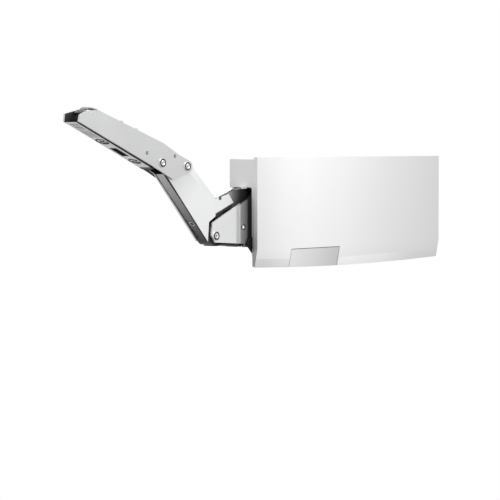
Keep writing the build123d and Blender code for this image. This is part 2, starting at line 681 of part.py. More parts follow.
def adjuster_tray():
    """The door bracket clipped inside the front arm, with its slot and screw seats."""
    width = FRONT_CLEAR - 2 * SIDE_GAP
    lip = (TRAY_END, tray_underside(TRAY_END) + TRAY_LIP)
    floor = (TRAY_END - 17.0, tray_underside(TRAY_END - 17.0) + TRAY_LIP)
    side = [(TRAY_START, tray_underside(TRAY_START)), (TRAY_END, tray_underside(TRAY_END)), lip, floor]
    side += [(TRAY_END - 19.5, -1.8), (60.0, -5.2), (TRAY_START, -9.6)]
    outline = region(*[on_arm(along, across) for along, across in side])
    tray = slab(outline, MID_DEPTH - width / 2, MID_DEPTH + width / 2)
    rim = [(TRAY_START, -14.5), (TRAY_END + 1, -8.0), (TRAY_END + 1, -4.5), (TRAY_START, -11.5)]
    rebates = pair(region(*[on_arm(along, across) for along, across in rim]), width, TRAY_REBATE)
    tray -= rebates[0] + rebates[1]
    slot = arm_plane(TRAY_SLOT, -8.0, MID_DEPTH) * SlotOverall(17.0, 5.2)
    tray -= extrude(slot, amount=9.0, both=True)
    for along, radius in ((HEIGHT_CAM, HEIGHT_CAM_RADIUS), (SIDE_SCREW, SIDE_SCREW_RADIUS)):
        seat = arm_plane(along, -8.0, MID_DEPTH) * Circle(radius + RUNNING_GAP)
        tray -= extrude(seat, amount=9.0, both=True)
        mouth = arm_plane(along, tray_underside(along) + 0.9, MID_DEPTH) * Circle(radius + 0.6)
        tray -= extrude(mouth, amount=3.0)
    for step in range(6):
        along = HEIGHT_CAM + 9.5 + 2.4 * step
        groove = arm_plane(along, tray_underside(along), MID_DEPTH) * Rectangle(1.0, width - 3.0)
        tray -= extrude(groove, amount=0.5, both=True)
    for step in range(4):
        along = TRAY_END - 3.5 - 3.0 * step
        bar = arm_plane(along, tray_underside(along), MID_DEPTH) * Rectangle(1.3, width - 4.6)
        tray -= extrude(bar, amount=0.5, both=True)
    return tray


def tray_underside(along):
    """How far across the arm the tray's underside lies."""
    share = (along - TRAY_START) / (TRAY_END - TRAY_START)
    return TRAY_DROP_START + share * (TRAY_DROP_END - TRAY_DROP_START)


def crossed_screw(along, across, radius, height):
    """A round adjuster with a raised rim and a cross recess, seated in the tray."""
    seat = arm_plane(along, across, MID_DEPTH)
    body = extrude(seat * Circle(radius), amount=-height)
    for turn in (0, 90):
        cross = seat * (Rot(0, 0, turn + 20) * Rectangle(radius * 1.4, 1.3))
        body -= extrude(cross, amount=-1.8)
    return body


def height_cam():
    return crossed_screw(HEIGHT_CAM, tray_underside(HEIGHT_CAM) + 0.3, HEIGHT_CAM_RADIUS, 3.4)


def side_screw():
    return crossed_screw(SIDE_SCREW, tray_underside(SIDE_SCREW) + 0.3, SIDE_SCREW_RADIUS, 4.4)


def release_latch():
    """The sprung latch: a narrow strip that bows over the arm's nose, on a foot as wide as the arm inside."""
    width = FRONT_CLEAR - 2 * SIDE_GAP
    outer = [(103.4, 10.5), (109.5, 11.1), (116.0, 10.1), (121.1, 7.8), (123.6, 3.6)]
    inner = [(122.5, 3.6), (120.2, 7.1), (115.5, 9.2), (109.4, 10.2), (103.6, 9.6)]
    over = [on_arm(*point) for point in outer]
    under = [on_arm(*point) for point in inner]
    strip = make_face([Spline(*over), Line(over[-1], under[0]), Spline(*under), Line(under[-1], over[0])])
    arch = slab(strip, MID_DEPTH - LATCH_WIDTH / 2, MID_DEPTH + LATCH_WIDTH / 2)
    foot = region(*[on_arm(*point) for point in ((123.6, 2.9), (123.6, 3.9), (122.0, 4.9), (118.5, 5.2), (118.5, 2.9))])
    foot += disc(latch_pivot(), 1.5)
    leg = slab(foot, MID_DEPTH - width / 2, MID_DEPTH + width / 2)
    return arch + leg - post(latch_pivot(), LATCH_PIN_RADIUS + RUNNING_GAP, 0, HOUSING_DEPTH)


def latch_pivot():
    return on_arm(119.0, 4.0)


def latch_pin():
    """The pin that the latch rocks on, staked in both cheeks."""
    return post(latch_pivot(), LATCH_PIN_RADIUS, MID_DEPTH - FRONT_WIDTH / 2, MID_DEPTH + FRONT_WIDTH / 2)


def roller_place():
    return (LEVER_PIVOT[0] + ROLLER_START, LEVER_PIVOT[1])


def roller_span(side):
    """The depths between which a roller runs, beside a fork of the carriage."""
    inner = LEVER_CLEAR / 2 - SIDE_GAP + 0.2
    return sorted((MID_DEPTH + side * inner, MID_DEPTH + side * (inner + ROLLER_WIDTH)))


def cam_roller(side):
    """One hardened roller that runs on the cam edge."""
    ring = disc(roller_place(), ROLLER_RADIUS) - disc(roller_place(), ROLLER_PIN_RADIUS + RUNNING_GAP)
    return slab(ring, *roller_span(side))


def spring_carriage():
    """The sliding carriage: a fork to the rollers, a cross block and the tall spring plate."""
    row = LEVER_PIVOT[1]
    fork_width = LEVER_CLEAR - 2 * SIDE_GAP
    fork = link(roller_place(), (CARRIAGE_FACE - 4.0, row), 4.6, 4.6)
    forks = pair(fork - disc(roller_place(), ROLLER_PIN_RADIUS), fork_width, CARRIAGE_SHEET)
    inner = fork_width / 2 - CARRIAGE_SHEET
    carriage = block(68.0, CARRIAGE_FACE, MID_DEPTH - inner, MID_DEPTH + inner, row - 4.6, row + 4.6)
    carriage += forks[0] + forks[1]
    reach = CAM_WIDTH / 2 - 0.2
    plate_end = CARRIAGE_FACE + CARRIAGE_PLATE
    tall = block(CARRIAGE_FACE, plate_end, MID_DEPTH - reach, MID_DEPTH + reach, CARRIAGE_FOOT, CARRIAGE_TOP)
    carriage += tall
    for level in SPRING_ROWS:
        carriage += rod(level, MID_DEPTH, SPRING_RADIUS - SPRING_WIRE - 0.6, plate_end, plate_end + 7.0)
    carriage -= rod(DAMPER_ROW, MID_DEPTH, DAMPER_ROD_RADIUS, CARRIAGE_FACE, plate_end)
    return carriage


def roller_pins():
    """The stub pins of the two rollers, riveted in the fork."""
    pins = []
    for side in (-1, 1):
        fork_inner = LEVER_CLEAR / 2 - SIDE_GAP - CARRIAGE_SHEET
        outer = LEVER_CLEAR / 2 - SIDE_GAP + 0.2 + ROLLER_WIDTH
        shank = post(roller_place(), ROLLER_PIN_RADIUS, *sorted((MID_DEPTH + side * fork_inner, MID_DEPTH + side * outer)))
        cap = post(roller_place(), 3.0, *sorted((MID_DEPTH + side * (outer + 0.1), MID_DEPTH + side * (outer + 0.4))))
        neck = post(roller_place(), ROLLER_PIN_RADIUS, *sorted((MID_DEPTH + side * outer, MID_DEPTH + side * (outer + 0.4))))
        pins.append(shank + neck + cap)
    return pins


def coil_spring(row):
    """A compression spring along X between the carriage and the abutment."""
    start = CARRIAGE_FACE + CARRIAGE_PLATE + SEAT_GAP + SPRING_WIRE / 2
    length = ABUTMENT_FACE - SEAT_GAP - SPRING_WIRE / 2 - start
    radius = SPRING_RADIUS - SPRING_WIRE / 2
    path = Helix(pitch=length / SPRING_TURNS, height=length, radius=radius)
    section = Plane(origin=path @ 0, z_dir=path % 0) * RegularPolygon(SPRING_WIRE / 2, 4)
    coil = sweep(section, path=path, is_frenet=True)
    seat = Plane(origin=(start, -MID_DEPTH, row), x_dir=(0, 1, 0), z_dir=(1, 0, 0))
    return seat * coil


def spring_abutment():
    """The rear abutment of the springs, moved along by the adjusting spindle."""
    reach = CAM_WIDTH / 2 - 0.2
    end = ABUTMENT_FACE + ABUTMENT_PLATE
    body = block(ABUTMENT_FACE, end, MID_DEPTH - reach, MID_DEPTH + reach, SPINDLE_ROW - 5.0, CARRIAGE_TOP)
    for level in SPRING_ROWS:
        body += rod(level, MID_DEPTH, SPRING_RADIUS - SPRING_WIRE - 0.6, ABUTMENT_FACE - 7.0, ABUTMENT_FACE)
    body -= rod(SPINDLE_ROW, MID_DEPTH, SPINDLE_RADIUS + RUNNING_GAP, ABUTMENT_FACE - 1, end + 1)
    return body


def adjusting_spindle():
    """The force adjusting spindle, turned with a screwdriver from the cabinet's front."""
    head_end = SPINDLE_START + 6.0
    spindle = rod(SPINDLE_ROW, MID_DEPTH, SPINDLE_RADIUS, SPINDLE_START, COVER_LENGTH - 22.0)
    spindle += rod(SPINDLE_ROW, MID_DEPTH, SPINDLE_HEAD_RADIUS, SPINDLE_START, head_end)
    spindle += rod(SPINDLE_ROW, MID_DEPTH, SPINDLE_HEAD_RADIUS, head_end + 6.4, head_end + 8.4)
    for turn in (0, 90):
        spindle -= Pos(SPINDLE_START, -MID_DEPTH, SPINDLE_ROW) * (Rot(turn, 0, 0) * Box(4.0, 1.2, 5.6))
    return spindle


def spindle_bearing():
    """The bearing block that holds the spindle end-ways, riveted to the mounting plate."""
    start = SPINDLE_START + 6.2
    body = block(start, start + 6.0, WALL_PLATE, HOUSING_DEPTH - NEAR_PLATE, SPINDLE_ROW - 6.0, SPINDLE_ROW + 6.0)
    return body - rod(SPINDLE_ROW, MID_DEPTH, SPINDLE_RADIUS + RUNNING_GAP, start - 1, start + 7)


def damper_cylinder():
    """The closing damper, held in a cradle on the mounting plate."""
    body = rod(DAMPER_ROW, MID_DEPTH, DAMPER_RADIUS, DAMPER_START, DAMPER_END)
    for x in (DAMPER_START + 8.0, DAMPER_END - 16.0):
        body += block(x, x + 6.0, WALL_PLATE, MID_DEPTH, DAMPER_ROW - 4.0, DAMPER_ROW + 4.0)
    return body - rod(DAMPER_ROW, MID_DEPTH, DAMPER_ROD_RADIUS + 0.2, DAMPER_START - 1, DAMPER_END - 6.0)


def damper_rod():
    """The damper's piston rod, fixed in the carriage plate."""
    return rod(DAMPER_ROW, MID_DEPTH, DAMPER_ROD_RADIUS, CARRIAGE_FACE, 160.0)


def save(name, pieces):
    """Write one node, moved so that the origin is the centre of the cabinet screws."""
    shape = pieces if isinstance(pieces, (list, tuple)) else [pieces]
    solids = [solid for piece in shape for solid in piece.solids()]
    moved = [Pos(-SCREW_CENTRE[0], 0, -SCREW_CENTRE[1]) * solid for solid in solids]
    export_step(moved[0] if len(moved) == 1 else Compound(children=moved), f"parts/{name}.step")


def build():
    """Write every piece of the mechanism."""
    os.makedirs("parts", exist_ok=True)
    save("mounting_plate", mounting_plate())
    save("frame_plate", frame_plate())
    save("frame_posts", frame_posts())
    save("front_cap", front_cap())
    save("cover", cover())
    save("badge_plate", badge_plate())
    save("lever_stubs", lever_stubs())
    save("control_axle", control_axle())
    save("control_bushes", control_bushes())
    save("lever_cheeks", lever_cheeks())
    save("cam_plates", cam_plates())
    save("lever_web", lever_web())
    save("lever_pins", lever_pins())
    save("web_rivets", web_rivets())
    save("outer_arm_cheeks", outer_arm_cheeks())
    save("arm_core", arm_core())
    save("core_screw", core_screw())
    save("inner_arm", inner_arm())
    save("inner_arm_face", inner_arm_face())
    save("control_lever", control_lever())
    save("control_pins", control_pins())
    save("front_arm", front_arm())
    save("front_rivets", front_rivets())
    save("stub_pins", stub_pins())
    save("adjuster_tray", adjuster_tray())
    save("height_cam", height_cam())
    save("side_screw", side_screw())
    save("release_latch", release_latch())
    save("latch_pin", latch_pin())
    save("cam_roller_far", cam_roller(-1))
    save("cam_roller_near", cam_roller(1))
    save("spring_carriage", spring_carriage())
    save("roller_pins", roller_pins())
    save("power_springs", [coil_spring(row) for row in SPRING_ROWS])
    save("spring_abutment", spring_abutment())
    save("adjusting_spindle", adjusting_spindle())
    save("spindle_bearing", spindle_bearing())
    save("damper_cylinder", damper_cylinder())
    save("damper_rod", damper_rod())


build()
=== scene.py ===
"""Looks for a lift-up door mechanism: bevelled steel arms, a pearl silver cover and a plain studio.

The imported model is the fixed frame. Pieces here are placed in the maker's own layout, in millimetres: X runs
along the housing from its front end, Z is up from the cover's top edge, and depth is measured from the
cabinet wall. Layout turns these into the frame's metres.
"""

from __future__ import annotations

import json
import logging
import math
from dataclasses import dataclass
from enum import Enum
from typing import Callable, Sequence

import bpy
from mathutils import Matrix, Vector

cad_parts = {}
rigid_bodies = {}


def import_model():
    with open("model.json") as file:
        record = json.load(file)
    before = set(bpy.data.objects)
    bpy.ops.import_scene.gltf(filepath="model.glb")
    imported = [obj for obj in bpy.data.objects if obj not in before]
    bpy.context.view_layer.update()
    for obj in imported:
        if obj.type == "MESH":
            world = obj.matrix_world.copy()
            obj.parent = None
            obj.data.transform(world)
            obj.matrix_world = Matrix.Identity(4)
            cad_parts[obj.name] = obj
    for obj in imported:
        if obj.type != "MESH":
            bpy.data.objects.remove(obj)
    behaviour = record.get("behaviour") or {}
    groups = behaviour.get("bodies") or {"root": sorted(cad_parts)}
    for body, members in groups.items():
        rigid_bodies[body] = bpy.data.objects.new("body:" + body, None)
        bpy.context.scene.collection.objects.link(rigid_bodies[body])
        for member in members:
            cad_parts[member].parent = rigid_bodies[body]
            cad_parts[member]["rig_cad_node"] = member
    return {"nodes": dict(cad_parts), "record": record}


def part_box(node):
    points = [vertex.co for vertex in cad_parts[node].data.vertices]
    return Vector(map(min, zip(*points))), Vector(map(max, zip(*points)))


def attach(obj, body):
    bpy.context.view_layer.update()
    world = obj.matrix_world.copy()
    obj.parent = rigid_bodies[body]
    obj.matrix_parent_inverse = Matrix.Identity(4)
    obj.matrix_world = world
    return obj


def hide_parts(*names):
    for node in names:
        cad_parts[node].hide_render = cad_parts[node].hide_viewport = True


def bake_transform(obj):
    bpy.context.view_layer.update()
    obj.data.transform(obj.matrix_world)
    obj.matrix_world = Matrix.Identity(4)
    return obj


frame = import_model()

LOG = logging.getLogger("lift_mechanism")
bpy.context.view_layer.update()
MILLIMETRE = 0.001
MERGE_DISTANCE = 0.000002
FLAT_ANGLE = math.radians(0.5)
EDGE_ANGLE = math.radians(32.0)

Spot = tuple[float, float]
Colour = tuple[float, float, float, float]
Stops = tuple[Spot, ...]


class Slot(Enum):
    """The material slot of a piece: its node's own, or one of the dark ones for what is added."""

    OWN = ""
    DARK_STEEL = "dark_steel"
    MOULDING = "core_plastic"


class Pick(Enum):
    """What is picked in edit mode."""

    POINTS = "VERT"
    EDGES = "EDGE"
    FACES = "FACE"


class Side(Enum):
    """The two sides of the mechanism; the near one faces the viewer."""

    FAR = -1
    NEAR = 1

    @property
    def label(self) -> str:
        """The side's name in a piece's name."""
        return self.name.lower()

    @property
    def outwards(self) -> tuple[float, float, float]:
        """The direction straight out of this side, in the frame's axes."""
        return (0.0, -self.value, 0.0)

    def face(self, width: float, proud: float = 0.0) -> float:
        """Find a depth at this side's outer face.

        Args:
            width: The width of a piece that lies in the middle, mm.
            proud: How far past the piece's face, mm.

        Returns:
            The depth, mm.
        """
        return LAYOUT.middle + self.value * (width / 2 + proud)


@dataclass(frozen=True)
class Layout:
    """The maker's layout, and the way from it to the frame's metres.

    It holds the housing and its screws, the pivots and rivets, the tray, the widths of the sheet metal, and
    the places where painted light and painted shade begin and end.
    """

    screw_centre_x: float = 148.0
    screw_centre_z: float = -42.0
    cover_length: float = 262.2
    middle: float = 12.5

    arm_slope: float = math.radians(18.0)
    inner_pivot: Spot = (-79.0, -6.7)
    outer_pivot: Spot = (-109.3, -3.7)
    outer_foot: Spot = (-43.2, -62.2)
    core_top: Spot = (-103.2, -12.7)
    core_foot: Spot = (-50.0, -65.2)
    pin_end: Spot = (-33.6, -32.3)
    web_rivet: Spot = (-10.3, -56.0)
    stakes: tuple[Spot, ...] = ((49.5, -4.8), (16.9, 3.1))

    tray_start: Spot = (36.2, -13.9)
    tray_end: Spot = (131.0, -7.4)
    tray_slot: float = 71.9
    height_cam: float = 93.0
    height_cam_radius: float = 5.0
    side_screw: float = 52.7
    side_screw_radius: float = 4.6

    face_depth: float = 16.88
    front_width: float = 16.0
    front_clear: float = 13.0
    lever_width: float = 16.2
    lever_clear: float = 13.0
    outer_clear: float = 9.4
    cam_width: float = 19.8
    # How far past the cheeks' inner faces the painted shade between them reaches, mm.
    shade_margin: float = 0.05

    # Painted shadow past these X, and painted light and shade along the edge and between these pairs of
    # places.
    tray_shadow: float = -121.8
    lever_shadow: float = -12.0
    control_edge: tuple[Spot, Spot] = ((-31.0, -30.4), (-16.5, -25.6))
    latch_fade: tuple[Spot, Spot] = ((-197.0, 37.0), (-180.0, 37.0))
    control_fade: tuple[Spot, Spot] = ((-30.0, -28.0), (-5.0, -28.0))
    cam_fade: tuple[Spot, Spot] = ((-15.2, -40.0), (-3.2, -40.0))
    badge_fade: tuple[Spot, Spot] = ((46.0, -80.0), (112.0, -80.0))

    def place(self, x: float, z: float, depth: float) -> Vector:
        """Turn a layout position into the frame's metres.

        Args:
            x: Distance along the housing, mm.
            z: Height over the cover's top edge, mm.
            depth: Distance from the cabinet wall, mm.

        Returns:
            The position in metres.
        """
        return Vector((x - self.screw_centre_x, -depth, z - self.screw_centre_z)) * MILLIMETRE

    def on_arm(self, along: float, across: float) -> Spot:
        """Find a point of the front arm in the layout.

        Args:
            along: Distance from the inner pivot towards the tip, mm.
            across: Distance towards the door, mm.

        Returns:
            Its X and Z, mm.
        """
        run, rise = math.cos(self.arm_slope), math.sin(self.arm_slope)
        x = self.inner_pivot[0] - along * run + across * rise
        z = self.inner_pivot[1] + along * rise + across * run
        return x, z

    def into_tray(self, along: float, deep: float) -> Spot:
        """Find a point in the tray.

        Args:
            along: Distance from the arm's inner pivot towards the tip, mm.
            deep: Distance in from the tray's underside, mm.

        Returns:
            Its X and Z, mm.
        """
        (start, low), (end, high) = self.tray_start, self.tray_end
        tilt = math.atan2(high - low, end - start)
        across = low + (along - start) * math.tan(tilt)
        return self.on_arm(along - deep * math.sin(tilt), across + deep * math.cos(tilt))

    def arm_down(self) -> Vector:
        """The direction straight out of the arm towards the tray's side, in the frame's axes."""
        return Vector((-math.sin(self.arm_slope), 0.0, -math.cos(self.arm_slope)))

    def tray_turn(self) -> Matrix:
        """Find the turn that lays a flat piece on the tray's underside.

        Returns:
            The turn, with the piece's X along the tray.
        """
        first = self.place(*self.into_tray(self.tray_start[0], 0.0), 0.0)
        last = self.place(*self.into_tray(self.tray_end[0], 0.0), 0.0)
        along = (last - first).normalized()
        side = Vector((0.0, -1.0, 0.0))
        outwards = along.cross(side)
        if outwards.z > 0:
            side, outwards = -side, -outwards
        return Matrix((along, side, outwards)).transposed().to_4x4()


LAYOUT = Layout()


class Wire:
    """A value in a sheet of nodes, with arithmetic that adds Math nodes."""

    def __init__(self, sheet: "NodeSheet", socket: bpy.types.NodeSocket) -> None:
        """Hold a socket and the sheet that it belongs to."""
        self.sheet = sheet
        self.socket = socket

    def _math(self, operation: str, first: "Wire | float", second: "Wire | float") -> "Wire":
        """Add a Math node that joins two values."""
        return self.sheet.node("ShaderNodeMath", {"operation": operation}, {0: first, 1: second})

    def __add__(self, other: "Wire | float") -> "Wire":
        """Add."""
        return self._math("ADD", self, other)

    __radd__ = __add__

    def __sub__(self, other: "Wire | float") -> "Wire":
        """Take away."""
        return self._math("SUBTRACT", self, other)

    def __rsub__(self, other: float) -> "Wire":
        """Take this away from a number."""
        return self._math("SUBTRACT", other, self)

    def __mul__(self, other: "Wire | float") -> "Wire":
        """Multiply."""
        return self._math("MULTIPLY", self, other)

    __rmul__ = __mul__

    def __lt__(self, other: float) -> "Wire":
        """1 where this is less than a number, else 0."""
        return self._math("LESS_THAN", self, other)

    def __gt__(self, other: float) -> "Wire":
        """1 where this is more than a number, else 0."""
        return self._math("GREATER_THAN", self, other)

    def __abs__(self) -> "Wire":
        """The value without its sign."""
        return self._math("ABSOLUTE", self, 0.0)

    def __or__(self, other: "Wire") -> "Wire":
        """The larger of two shares."""
        return self._math("MAXIMUM", self, other)


class NodeSheet:
    """The nodes of one material or world."""

    def __init__(self, owner: bpy.types.Material | bpy.types.World) -> None:
        """Start with no nodes.

        Args:
            owner: The material or world.
        """
        self.owner = owner
        owner.use_nodes = True
        self.tree = owner.node_tree
        self.tree.nodes.clear()

    def node(
        self,
        kind: str,
        settings: dict | None = None,
        inputs: dict | None = None,
        output: int | str = 0,
    ) -> Wire:
        """Add one node.

        Args:
            kind: The node's type.
            settings: Attributes that are set first; "stops" are a ramp's stops.
            inputs: Values or wires by socket name or number.
            output: Which output the returned wire carries.

        Returns:
            The chosen output.
        """
        made = self.tree.nodes.new(kind)
        for key, value in (settings or {}).items():
            if key == "stops":
                self._set_stops(made, value)
            else:
                setattr(made, key, value)
        for key, value in (inputs or {}).items():
            if isinstance(value, Wire):
                self.tree.links.new(value.socket, made.inputs[key])
            else:
                made.inputs[key].default_value = value
        return Wire(self, made.outputs[output])

    @staticmethod
    def _set_stops(ramp: bpy.types.Node, stops: Stops) -> None:
        """Give a ramp its grey stops.

        Args:
            ramp: The ramp node.
            stops: Position and grey of each stop.
        """
        elements = ramp.color_ramp.elements
        while len(elements) > 1:
            elements.remove(elements[-1])
        for index, (position, level) in enumerate(stops):
            element = elements[0] if index == 0 else elements.new(position)
            element.position = position
            element.color = grey(level)

    def spot(self) -> Wire:
        """Object coordinates."""
        return self.node("ShaderNodeTexCoord", output="Object")

    def axis(self, vector: Wire, letter: str) -> Wire:
        """One axis of a vector."""
        return self.node("ShaderNodeSeparateXYZ", {}, {"Vector": vector}, letter)

    def coordinates(
        self,
        stretch: Sequence[float] = (1.0, 1.0, 1.0),
        turn: Sequence[float] = (0.0, 0.0, 0.0),
    ) -> Wire:
        """Object coordinates, stretched and turned.

        Args:
            stretch: Scale of each axis.
            turn: Rotation of each axis, radians.

        Returns:
            The mapped vector.
        """
        inputs = {"Vector": self.spot(), "Scale": tuple(stretch), "Rotation": tuple(turn)}
        return self.node("ShaderNodeMapping", {}, inputs)

    def noise(self, vector: Wire, scale: float, detail: float, roughness: float = 0.5) -> Wire:
        """A noise value over a vector."""
        inputs = {"Vector": vector, "Scale": scale, "Detail": detail, "Roughness": roughness}
        return self.node("ShaderNodeTexNoise", {}, inputs, "Fac")

    def ramp(self, value: Wire, stops: Stops) -> Wire:
        """A grey ramp over a value."""
        return self.node("ShaderNodeValToRGB", {"stops": stops}, {"Fac": value})

    def _mix(self, kind: str, share: Wire | float, first: Wire | Colour, second: Wire | Colour) -> Wire:
        """Add a colour mix of one kind."""
        settings = {"data_type": "RGBA", "blend_type": kind}
        return self.node("ShaderNodeMix", settings, {0: share, 6: first, 7: second}, 2)

    def blend(self, share: Wire | float, first: Wire | Colour, second: Wire | Colour) -> Wire:
        """Mix two colours by a share."""
        return self._mix("MIX", share, first, second)

    def tone(self, colour: Wire, share: Wire) -> Wire:
        """Multiply a colour by a grey share."""
        return self._mix("MULTIPLY", 1.0, colour, share)

    def facing(self, letter: str) -> Wire:
        """How much a surface points along one axis of the frame, -1 to 1."""
        return self.axis(self.node("ShaderNodeNewGeometry", output="Normal"), letter)

    def along(self, start: Spot, end: Spot) -> Wire:
        """How far a point lies on the way between two layout places.

        Args:
            start: X and Z where the value is 0, mm.
            end: X and Z where the value is 1, mm.

        Returns:
            The share of the way, held between 0 and 1.
        """
        first = LAYOUT.place(*start, 0.0)
        run = LAYOUT.place(*end, 0.0) - first
        spot, step = self.spot(), tuple(run / run.length_squared)
        offset = self.node("ShaderNodeVectorMath", {"operation": "SUBTRACT"}, {0: spot, 1: tuple(first)})
        share = self.node("ShaderNodeVectorMath", {"operation": "DOT_PRODUCT"}, {0: offset, 1: step}, "Value")
        return self.node("ShaderNodeMapRange", {"clamp": True}, {"Value": share})

    def down_core(self) -> Wire:
        """How far down the outer arm's core a point lies, 0 to 1."""
        return self.along(LAYOUT.core_top, LAYOUT.core_foot)

    def past(self, x: float) -> Wire:
        """1 on what lies further along the housing than a layout X, else 0."""
        return self.axis(self.spot(), "X") > LAYOUT.place(x, 0.0, 0.0).x

    def near_half(self) -> Wire:
        """1 on what lies on the viewer's side of the mechanism's middle, else 0."""
        return self.axis(self.spot(), "Y") < -LAYOUT.middle * MILLIMETRE

    def between_cheeks(self, clear: float) -> Wire:
        """1 on what lies inside a pair of cheeks that are so many millimetres apart, else 0."""
        half = (clear / 2 + LAYOUT.shade_margin) * MILLIMETRE
        return abs(self.axis(self.spot(), "Y") + LAYOUT.middle * MILLIMETRE) < half

    def around(self, level: float, *noises: tuple[Wire, float]) -> Wire:
        """Let noises move a level up and down.

        Args:
            level: The middle level.
            *noises: Each noise, and how far it moves the level from its lowest to its highest.

        Returns:
            The uneven level.
        """
        reach = sum(share for _, share in noises)
        return sum((noise * share for noise, share in noises), level - reach / 2)

    def bump(self, height: Wire, strength: float, distance: float) -> Wire:
        """A bump normal from a height."""
        return self.node("ShaderNodeBump", {}, {"Height": height, "Strength": strength, "Distance": distance})

    def finish(self, **inputs: object) -> bpy.types.Material:
        """Close the material with a Principled shader.

        Args:
            **inputs: Principled inputs, with underscores for spaces.

        Returns:
            The finished material.
        """
        named = {key.replace("_", " "): value for key, value in inputs.items()}
        shader = self.node("ShaderNodeBsdfPrincipled", {}, named)
        self.close("ShaderNodeOutputMaterial", shader)
        return self.owner

    def close(self, kind: str, shader: Wire) -> None:
        """Connect a shader to an output node's surface."""
        out = self.tree.nodes.new(kind)
        self.tree.links.new(shader.socket, out.inputs["Surface"])


def grey(level: float, warmth: float = 0.0) -> Colour:
    """A near-neutral colour; warmth above 0 is warmer, below 0 is cooler."""
    return (level * (1 + warmth), level, level * (1 - warmth), 1.0)


@dataclass(frozen=True)
class RolledSteel:
    """Plated sheet steel with a fine rolled grain and slightly brighter worn patches.

    Where clear is given, what lies that close to the middle is painted dark as the shade inside a pair of
    cheeks; the painted shading gives that inside its painted light and shade down the outer arm, and shade
    darkens the outer arm near its top as a painted shadow. Painted shade also covers what lies past a layout
    X, and the lower cut edges of the near or the far cheek, where these are asked for.
    """

    name: str
    level: float
    warmth: float = -0.004
    metallic: float = 0.85
    roughness: float = 0.34
    grain_stretch: tuple[float, float, float] = (30.0, 400.0, 900.0)
    grain_turn: float = 0.0
    grain_depth: float = 0.00006
    grain_share: float = 0.10
    cloud_scale: float = 45.0
    cloud_share: float = 0.06
    patches: Stops = ((0.35, 0.0), (0.7, 1.0))
    spread: float = 0.03
    # The rest paints shade: inside the cheeks, down the outer arm, past an X and on lower cut edges.
    clear: float = 0.0
    shade_grey: float = 0.03
    film: Stops = ()
    shade: Stops = ()
    past: float | None = None
    near_cut: bool = False
    near_cut_slope: float = -0.4
    far_cut: bool = False
    far_cut_slope: float = -0.15
    far_cut_share: float = 0.14

    def make(self) -> bpy.types.Material:
        """Build the material.

        Returns:
            The material.
        """
        sheet = NodeSheet(bpy.data.materials.new(self.name))
        along = sheet.coordinates(self.grain_stretch, (0.0, self.grain_turn, 0.0))
        grain = sheet.noise(along, 1.0, 4.0, 0.6)
        cloud = sheet.noise(sheet.coordinates(), self.cloud_scale, 2.0)
        patch = sheet.ramp(cloud, self.patches)
        dark = grey(self.level * (1 - self.spread), self.warmth)
        light = grey(min(1.0, self.level * (1 + self.spread)), self.warmth)
        colour = sheet.blend(patch * 0.5 + grain * 0.5, dark, light)
        colour = self.paint_shade(sheet, colour)
        return sheet.finish(
            Base_Color=colour,
            Metallic=self.metallic,
            Roughness=sheet.around(self.roughness, (grain, self.grain_share), (cloud, self.cloud_share)),
            Normal=sheet.bump(grain, 0.08, self.grain_depth),
        )

    def paint_shade(self, sheet: NodeSheet, colour: Wire) -> Wire:
        """Paint the shade that this steel asks for over its colour.

        Args:
            sheet: The material's nodes.
            colour: The steel's own colour.

        Returns:
            The colour with the painted shade on it.
        """
        shade_grey = grey(self.shade_grey)
        # Painted shadow, darker towards the top of the outer arm's core.
        if self.shade:
            colour = sheet.tone(colour, sheet.ramp(sheet.down_core(), self.shade))
        # Painted shade inside the pair of cheeks, with its painted light and shade down the outer arm.
        if self.clear:
            inside = sheet.ramp(sheet.down_core(), self.film) if self.film else shade_grey
            colour = sheet.blend(sheet.between_cheeks(self.clear), colour, inside)
        # Painted shadow past a layout X, where the housing shades the piece.
        if self.past is not None:
            colour = sheet.blend(sheet.past(self.past), colour, shade_grey)
        # Painted shade on the downward cut edges, darker still on the far cheek.
        if self.near_cut:
            near_edge = (sheet.facing("Z") < self.near_cut_slope) * sheet.near_half()
            colour = sheet.blend(near_edge, colour, shade_grey)
        if self.far_cut:
            far_edge = (sheet.facing("Z") < self.far_cut_slope) * (1 - sheet.near_half())
            colour = sheet.blend(far_edge, colour, grey(self.shade_grey * self.far_cut_share))
        return colour


